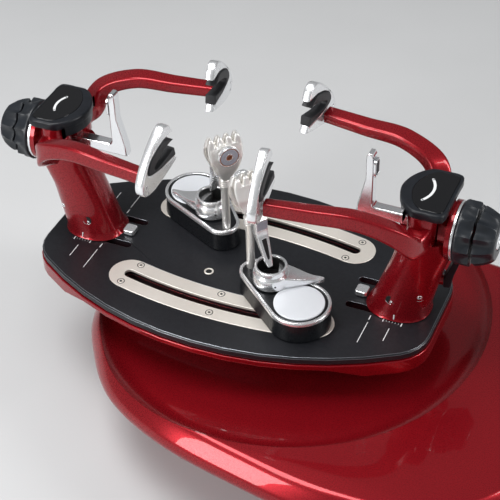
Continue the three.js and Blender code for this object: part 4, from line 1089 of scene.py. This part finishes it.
def across_arm(outline, width, edge, sign, way):
    """Rings of a piece of one outline, cut across the arm's tip, with rounded edges."""
    x, y, _ = ARM.tip_place
    yaw = radians(HOLDER.yaw)
    shift = -HOLDER.width / 2 - HOLDER.over - HOLDER.gap
    half, blunt = width / 2, edge * HOLDER.edge_share
    rows = [(-half, edge), (-half + blunt, blunt), (-half + edge, 0)]
    rows += [(-across, inset) for across, inset in reversed(rows)]
    rings = []
    for across, inset in rows:
        ring = []
        for p in inset_outline(outline, inset):
            along, side = across + shift, p.x - y
            over = sign * (x + along * cos(yaw) + side * sin(yaw))
            out = way * (y - along * sin(yaw) + side * cos(yaw))
            ring.append(Vector((over * MM, out * MM, TABLE_TOP + p.y * MM)))
        rings.append(ring)
    return rings


def holders():
    """Crescent holders with their dark pads."""
    wide = HOLDER.width
    shell = holder_line(SHELL_OUTER_SHARES, 84) + holder_line(SHELL_INNER_SHARES, 48)
    pad = holder_line(SHELL_INNER_SHARES, 48, HOLDER.pad_sunk) + holder_line(GROOVE_SHARES, 40)
    for side, sign, place, way in corners():
        body = f"{side}_holder_{place}"
        rings = across_arm(shell, wide, HOLDER.edge, sign, way)
        from_rings(f"{body}_form", rings, SATIN, body, node=body)
        rings = across_arm(pad, wide + 2 * HOLDER.over, HOLDER.pad_edge, sign, way)
        from_rings(f"{body}_pad", rings, RUBBER, body, node=f"{side}_pad_{place}")


def holder_screws():
    """Two small screws on each face of each holder, their sockets filled with painted shade."""
    for side, sign, place, way in corners():
        body = f"{side}_holder_{place}"
        meet = ray_finder(body)
        for number, (y, z) in enumerate(HOLDER_SCREWS):
            for face in (-1, 1):
                x = sign * ARM.tip_place[0] + face * HOLDER_SCREW_START
                point, normal = meet((x * MM, way * y * MM, TABLE_TOP + z * MM), (-face, 0, 0))
                if point is not None:
                    name = f"{body}_screw_{number}_{'inner' if face * sign < 0 else 'outer'}"
                    fitted(name, HOLDER_SCREW_PARTS, body, facing(point, normal))


# Supports


def support_pads():
    """A dark pad in a bright frame at the tip of each inner support."""
    for side, sign in SIDES.items():
        body, node = f"{side}_inner_support", f"{side}_support_pad"
        low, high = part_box(node)
        middle = Vector((low.x if sign > 0 else high.x, 0, (low.z + high.z) / 2))
        outwards = Matrix(((0, 0, sign), (0, -sign, 0), (1, 0, 0))).to_4x4()
        at = Matrix.Translation(middle) @ outwards
        half_height, half_width = (high.z - low.z) / 2 / MM, (high.y - low.y) / 2 / MM
        wall = PAD.frame
        inner = rounded_box(half_height - wall, half_width - wall, PAD.inner_corner)
        outlines = {
            "outer": rounded_box(half_height, half_width, PAD.corner),
            "inner": inner,
            "face": inset_outline(inner, PAD_GAP),
        }
        for name, rows, finish, shown in (
            (f"{side}_support_frame", PAD_FRAME, CHROME, {"closed": False, "slot": "chrome"}),
            (f"{node}_form", PAD_FACE, RUBBER, {"node": node}),
        ):
            rings = [raised(inset_outline(outlines[key], inset), height) for key, inset, height in rows]
            from_rings(name, rings, finish, body, at, **shown)


# Clamps


def clamp_place(place):
    """The frame of a clamp, with its pivot disc at the origin and its post along X."""
    clamp = CLAMPS[place]
    x, sign = clamp["x"], clamp["sign"]
    y = SLOT.radius - SLOT.centre - sqrt(SLOT.radius ** 2 - x**2)
    return shifted(sign * x, sign * y, SLOT_PLATE_TOP / MM) @ turned_by(clamp["angle"])


def head_place(place):
    turn = turned_by(CLAMPS[place]["row"] - CLAMPS[place]["angle"])
    return clamp_place(place) @ shifted(POST_PLACE, 0) @ turn


def egg_rings(rows):
    """Rings of the base's egg-shaped outline, from (inset, height) rows."""
    rings = []
    for inset, height in rows:
        big, small, spacing = BASE.big - inset, BASE.small - inset, BASE.spacing
        turn = acos((big - small) / spacing)
        outline = arc(0, 0, big, turn, 2 * pi - turn, 60) + arc(spacing, 0, small, -turn, turn, 30)
        rings.append(raised(outline, height))
    return rings


def clamp_base(place):
    at = clamp_place(place)
    body = f"clamp_{place}_base"
    rings = egg_rings(BASE_ROWS)
    from_rings(f"{body}_form", rings, BASE_BLACK, body, at, crease=35, node=body)
    rings, node = egg_rings(RIM_ROWS), f"clamp_{place}_rim"
    from_rings(f"{body}_rim", rings, SATIN, body, at, closed=False, crease=35, node=node)
    finish, node = LOOK["disc_face"], f"clamp_{place}_disc"
    turned(f"{body}_disc", DISC_PROFILE, finish, body, at, 96, crease=30, node=node)


def lock_collar(place):
    """The satin collar with its well lined in black as painted shade, its upper ring, pointed lever and
    dot.
    """
    at = clamp_place(place) @ shifted(COLLAR_PLACE, 0)
    body = f"clamp_{place}_lock_collar"
    turned(f"{body}_form", COLLAR_PROFILE, SATIN, body, at, 112, crease=32, node=body)
    # The well's black lining is painted shade.
    turned(f"{body}_well", WELL_PROFILE, BLACK_AND_SHADE, body, at, 80, closed=False, slot="satin_metal")
    low = BLADE.low
    rings = []
    for step in range(BLADE.steps + 1):
        share = step / BLADE.steps
        half = BLADE.half - BLADE.narrows * smooth_step(share / BLADE.narrow_share)
        if share >= BLADE.tip_share:
            half = BLADE.tip_half * sqrt(max(BLADE.blunt, (1 - share) / (1 - BLADE.tip_share)))
        top = BLADE.high - BLADE.drops * smooth_step(share / BLADE.drop_share)
        reach = BLADE.start + BLADE.length * share
        outline = rounded_box(half, (top - low) / 2, min(BLADE.corner, half * BLADE.corner_share))
        rings.append([Vector((reach, p.x, (top + low) / 2 + p.y)) * MM for p in outline])
    turn = at @ turned_by(CLAMPS[place]["lever"])
    from_rings(f"{body}_blade", rings, SATIN, body, turn, crease=50, slot="satin_metal")
    out = Vector((cos(radians(DOT.azimuth)), sin(radians(DOT.azimuth)), 0))
    spot = at.translation + (out * DOT.radius + Vector((0, 0, DOT.height))) * MM
    turned(f"{body}_dot", DOT.profile, BLACK_AND_SHADE, body, facing(spot, out), 24, slot="satin_metal")


def post(place):
    at = clamp_place(place) @ shifted(POST_PLACE, 0)
    profile = list(POST_FOOT)
    for groove in POST_GROOVES:
        profile += [(radius, groove + height) for radius, height in POST_GROOVE]
    profile += POST_HEAD
    node = f"clamp_{place}_post"
    turned(f"{node}_form", profile, CAST, f"clamp_{place}_head", at, crease=35, node=node)


def jaw(place, kind, way):
    """One curved jaw, widening like a tulip from the post to a row of rounded teeth."""
    at = head_place(place)
    node = f"clamp_{place}_jaw_{kind}"
    thick, wide, near = JAW.thickness, JAW.width, JAW.gap / 2
    rings = []
    for up, share, out in along_curve(JAW_SHARES, JAW_RINGS):
        half = wide / 2 * share
        middle = near + JAW.bulge * out + thick / 2
        height = JAW.bottom + (JAW.base - JAW.bottom) * up
        ring = []
        for step in range(JAW_POINTS):
            px, py = squared_off(2 * pi * step / JAW_POINTS, JAW_POWERS)
            ring.append(Vector((half * px, way * (middle + thick / 2 * py), height)) * MM)
        rings.append(ring)
    from_rings(f"{node}_form", rings, CAST, BODY_OF[node], at, crease=50, node=node)
    first = -(wide - TOOTH.width) / 2
    root = JAW.base - TOOTH.root
    for number in range(TEETH):
        centre = first + number * (wide - TOOTH.width) / (TEETH - 1)
        rings = []
        for share in [step / TOOTH.steps for step in range(TOOTH.steps + 1)]:
            half = TOOTH.width / 2 * (1 - TOOTH.narrows * share ** TOOTH.power)
            depth = thick * (1 - TOOTH.thins * share) / 2
            crown = max(0, share - TOOTH.crown_share)
            half *= 1 - TOOTH.crown_narrows * crown
            depth *= 1 - TOOTH.crown_thins * crown
            level = root + (JAW.top - root) * share
            outline = rounded_box(half, depth, min(half, depth) * TOOTH.corner_share, 4)
            rings.append([Vector((centre + p.x, way * (near + depth + p.y), level)) * MM for p in outline])
        name = f"{node}_tooth_{number}"
        from_rings(name, rings, CAST, BODY_OF[node], at, crease=50, slot="steel")


def dial(place):
    """The adjusting dial: a satin rim, a copper edge, a grey face, a satin ring, a copper centre and a
    groove of painted shade.
    """
    node = f"clamp_{place}_dial"
    body = BODY_OF[node]
    face = -(JAW.gap / 2 + JAW.bulge + JAW.thickness + DIAL_GAP)
    at = head_place(place) @ shifted(0, face, DIAL_HEIGHT) @ turned_by(90, "X")
    turned(f"{node}_form", DIAL_RIM, SATIN, body, at, 96, crease=32, node=node)
    fitted(node, DIAL_PARTS, body, at, crease=32, slot="satin_metal")
    # The groove is painted shade, a thin black bar over the centre.
    groove = DIAL_GROOVE
    outline = plain_box(groove.half_length, groove.half_width)
    levels = (groove.low, groove.high)
    at = at @ turned_by(groove.angle)
    flat_piece(f"{node}_groove", outline, levels, BLACK_AND_SHADE, body, at, slot="satin_metal")


def cam_lever(place):
    """The lever that closes the jaws: a square block over a tapering blade with a dark inlay."""
    at = head_place(place)
    node = f"clamp_{place}_cam_lever"
    body = BODY_OF[node]
    rings = []
    for height, near, far, half in CAM_ROWS:
        outline = rounded_box(half, (far - near) / 2, CAM_CORNER, 4)
        rings.append([Vector((p.x, (near + far) / 2 + p.y, height)) * MM for p in outline])
    from_rings(f"{node}_form", rings, SATIN, body, at, crease=28, node=node)
    lug = rounded_box(*CAM_LUG.half, CAM_LUG.corner, 3)
    spot = at @ shifted(0, CAM_LUG.place)
    flat_piece(f"{node}_lug", lug, CAM_LUG.heights, SATIN, body, spot, slot="satin_metal")
    plate = rounded_box(*CAM_PLATE.half, CAM_PLATE.corner, 3)
    wall = at @ shifted(0, CAM_PLATE.face, CAM_PLATE.height) @ turned_by(-90, "X")
    flat_piece(f"{node}_plate", plate, CAM_PLATE.levels, GREY, body, wall, slot="satin_metal")
    start, end = (Vector((0, *spot)) for spot in CAM_BLADE)
    down = (end - start).normalized()
    across = Vector((1, 0, 0))
    blade = Matrix((-across, -down, across.cross(down))).transposed().to_4x4()
    blade = at @ Matrix.Translation(start * MM) @ blade
    outline = [Vector((half, -reach)) for half, reach in INLAY_SHAPE]
    outline += [Vector((-p.x, p.y)) for p in reversed(outline)]
    wider = inset_outline(outline, INLAY_EDGE.inset)
    for label, shape, levels, finish in (
        ("inlay", outline, INLAY_LEVELS, BLACK_AND_SHADE),
        ("inlay_edge", wider, INLAY_EDGE.levels, SATIN),
    ):
        flat_piece(f"{node}_{label}", shape, levels, finish, body, blade, slot="satin_metal")


def clamps():
    for place in PLACES:
        clamp_base(place)
        lock_collar(place)
        post(place)
        jaw(place, "fixed", -1)
        jaw(place, "moving", 1)
        dial(place)
        cam_lever(place)


# Screws and marks


def slot_plate_screws():
    """Countersunk screws, each in a ring of painted shade, with a six-sided socket filled with painted
    shade.
    """
    for place, sign in PLACES.items():
        for number, (x, y) in enumerate(PLATE_SCREWS):
            at = shifted(x, sign * y, SLOT_PLATE_TOP / MM)
            fitted(f"plate_screw_{place}_{number}", PLATE_SCREW_PARTS, "turntable", at)


def centre_bush():
    # The bush, with the ring round it and its hole drawn as painted shade.
    fitted("bush", BUSH_PARTS, "turntable", shifted(*BUSH_PLACE, TABLE_TOP / MM))


def scale_marks():
    """The plain ticks and lines beside each mast."""
    first, last, parts = SCALE.first, SCALE.last, SCALE.parts
    rows = [(f"end_{number}", x, *SCALE.end) for number, x in enumerate((first, last))]
    for step in range(1, parts):
        rows.append((f"step_{step}", first + (last - first) * step / parts, *SCALE.step))
    rows += [(label, *line) for label, line in SCALE_LINES.items()]
    at = shifted(0, 0, TABLE_TOP / MM)
    for side, sign, place, way in corners():
        for label, x, low, high, width in rows:
            outline = plain_box(width / 2, (high - low) / 2, sign * x, way * (low + high) / 2)
            flat_piece(f"scale_{side}_{place}_{label}", outline, LINE_HEIGHTS, MARK, "turntable", at)


def mast_hole(body, point, normal):
    """A hole drawn as a black disc of painted shade, with a satin arc along its lower edge as a painted
    highlight and a small screw in it.
    """
    hole = MAST_HOLE
    point = point + normal * WALL_LIFT * MM
    turned(f"{body}_hole", MAST_HOLE_PROFILE, BLACK_AND_SHADE, body, facing(point, normal), 40)
    at = on_wall(point + normal * MAST_HOLE_PROFILE[-1][1] * MM, normal)
    name = f"{body}_hole_edge"
    band(name, hole.radius, hole.edge_width, hole.edge, MAST_HIGHLIGHT_LEVELS, SATIN, body, at)
    inner = at @ shifted(hole.screw_shift, -hole.screw_shift)
    turned(f"{body}_hole_screw", HOLE_SCREW, SATIN, body, inner, 24)


def mast_screw(body, point, normal):
    """A screw whose six-sided socket is painted shade, over a satin arc that is a painted highlight."""
    raised_point = point + normal * WALL_LIFT * MM
    at = facing(raised_point, normal)
    fitted(f"{body}_outer", MAST_SCREW_PARTS, body, at)
    at = on_wall(raised_point, normal) @ shifted(0, MAST_SCREW.edge_shift)
    name, radius, width = f"{body}_outer_edge", MAST_SCREW.edge_radius, MAST_SCREW.edge_width
    band(name, radius, width, MAST_SCREW.edge, MAST_HIGHLIGHT_LEVELS, SATIN, body, at)


def mast_pointer(body, point, normal):
    outline = plain_box(POINTER.half_width, POINTER.half_length)
    at = on_wall(point + normal * POINTER.lift * MM, normal)
    flat_piece(f"{body}_pointer", outline, POINTER.levels, MARK, body, at)


def mast_details():
    """A sunk screw, an outer screw and a pointer line on the front of each mast."""
    for side, sign in SIDES.items():
        body = f"{side}_mast"
        meet = ray_finder(body)
        for spot, fit in ((MAST_HOLE, mast_hole), (MAST_SCREW, mast_screw), (POINTER, mast_pointer)):
            start = (sign * spot.x * MM, RAY_START * MM, TABLE_TOP + spot.height * MM)
            point, normal = meet(start, (0, 1, 0))
            if point is not None:
                fit(body, point, normal)


# Studio


def studio():
    backdrop()
    for name, (place, aim, width, height, power) in LAMPS.items():
        data = bpy.data.lights.new(name, "AREA")
        data.shape = "RECTANGLE"
        data.size = width
        data.size_y = height
        data.energy = power
        lamp = link(data, name)
        lamp.location = place
        lamp.rotation_mode = "QUATERNION"
        lamp.rotation_quaternion = (Vector(aim) - Vector(place)).to_track_quat("-Z", "Y")
    world = bpy.data.worlds.new("studio")
    bpy.context.scene.world = world
    world.use_nodes = True
    tree = world.node_tree
    tree.nodes.clear()
    out = tree.nodes.new("ShaderNodeOutputWorld")
    shader = tree.nodes.new("ShaderNodeBackground")
    for key, value in SKY.items():
        shader.inputs[key].default_value = value
    tree.links.new(shader.outputs["Background"], out.inputs["Surface"])


def backdrop():
    """A pale floor that curves up into a backdrop behind the object."""
    back, radius = FLOOR.back, FLOOR.radius
    profile = [(-FLOOR.half, 0.0), (back, 0.0)]
    for step in range(1, FLOOR.steps + 1):
        angle = pi / 2 * step / FLOOR.steps
        profile.append((back + radius * sin(angle), radius * (1 - cos(angle))))
    profile.append((back + radius, FLOOR.top))
    grid = bmesh.new()
    rows = []
    for across in (-FLOOR.half_width, FLOOR.half_width):
        rows.append([grid.verts.new((across, y, z)) for y, z in profile])
    for i in range(len(profile) - 1):
        grid.faces.new((rows[0][i], rows[1][i], rows[1][i + 1], rows[0][i + 1]))
    mesh = bpy.data.meshes.new("floor")
    grid.to_mesh(mesh)
    grid.free()
    mesh.shade_smooth()
    mesh.materials.append(make_finish("floor_paper"))
    return link(mesh, "floor")


def camera():
    azimuth, elevation, roll = (radians(angle) for angle in (CAMERA.azimuth, CAMERA.elevation, CAMERA.roll))
    level = cos(elevation)
    back = Vector((sin(azimuth) * level, -cos(azimuth) * level, sin(elevation)))
    right = (-back).cross(Vector((0, 0, 1))).normalized()
    up = right.cross(-back)
    rolled_right = cos(roll) * right + sin(roll) * up
    rolled_up = -sin(roll) * right + cos(roll) * up
    data = bpy.data.cameras.new("camera")
    data.sensor_width = CAMERA.sensor
    data.lens = CAMERA.focal_pixels * CAMERA.sensor / CAMERA.image_pixels
    data.clip_start = CAMERA.near
    data.clip_end = CAMERA.far
    viewer = link(data, "camera")
    viewer.rotation_mode = "QUATERNION"
    viewer.rotation_quaternion = Matrix((rolled_right, rolled_up, back)).transposed().to_quaternion()
    viewer.location = CAMERA.place
    bpy.context.scene.camera = viewer


dress_solids()
housing()
slot_plates()
mast_skins()
covers()
knobs()
arms()
holders()
support_pads()
clamps()
slot_plate_screws()
centre_bush()
scale_marks()
mast_details()
holder_screws()
cover_marks()
studio()
camera()

bpy.context.scene.view_settings.view_transform = "Standard"

bpy.context.view_layer.update()
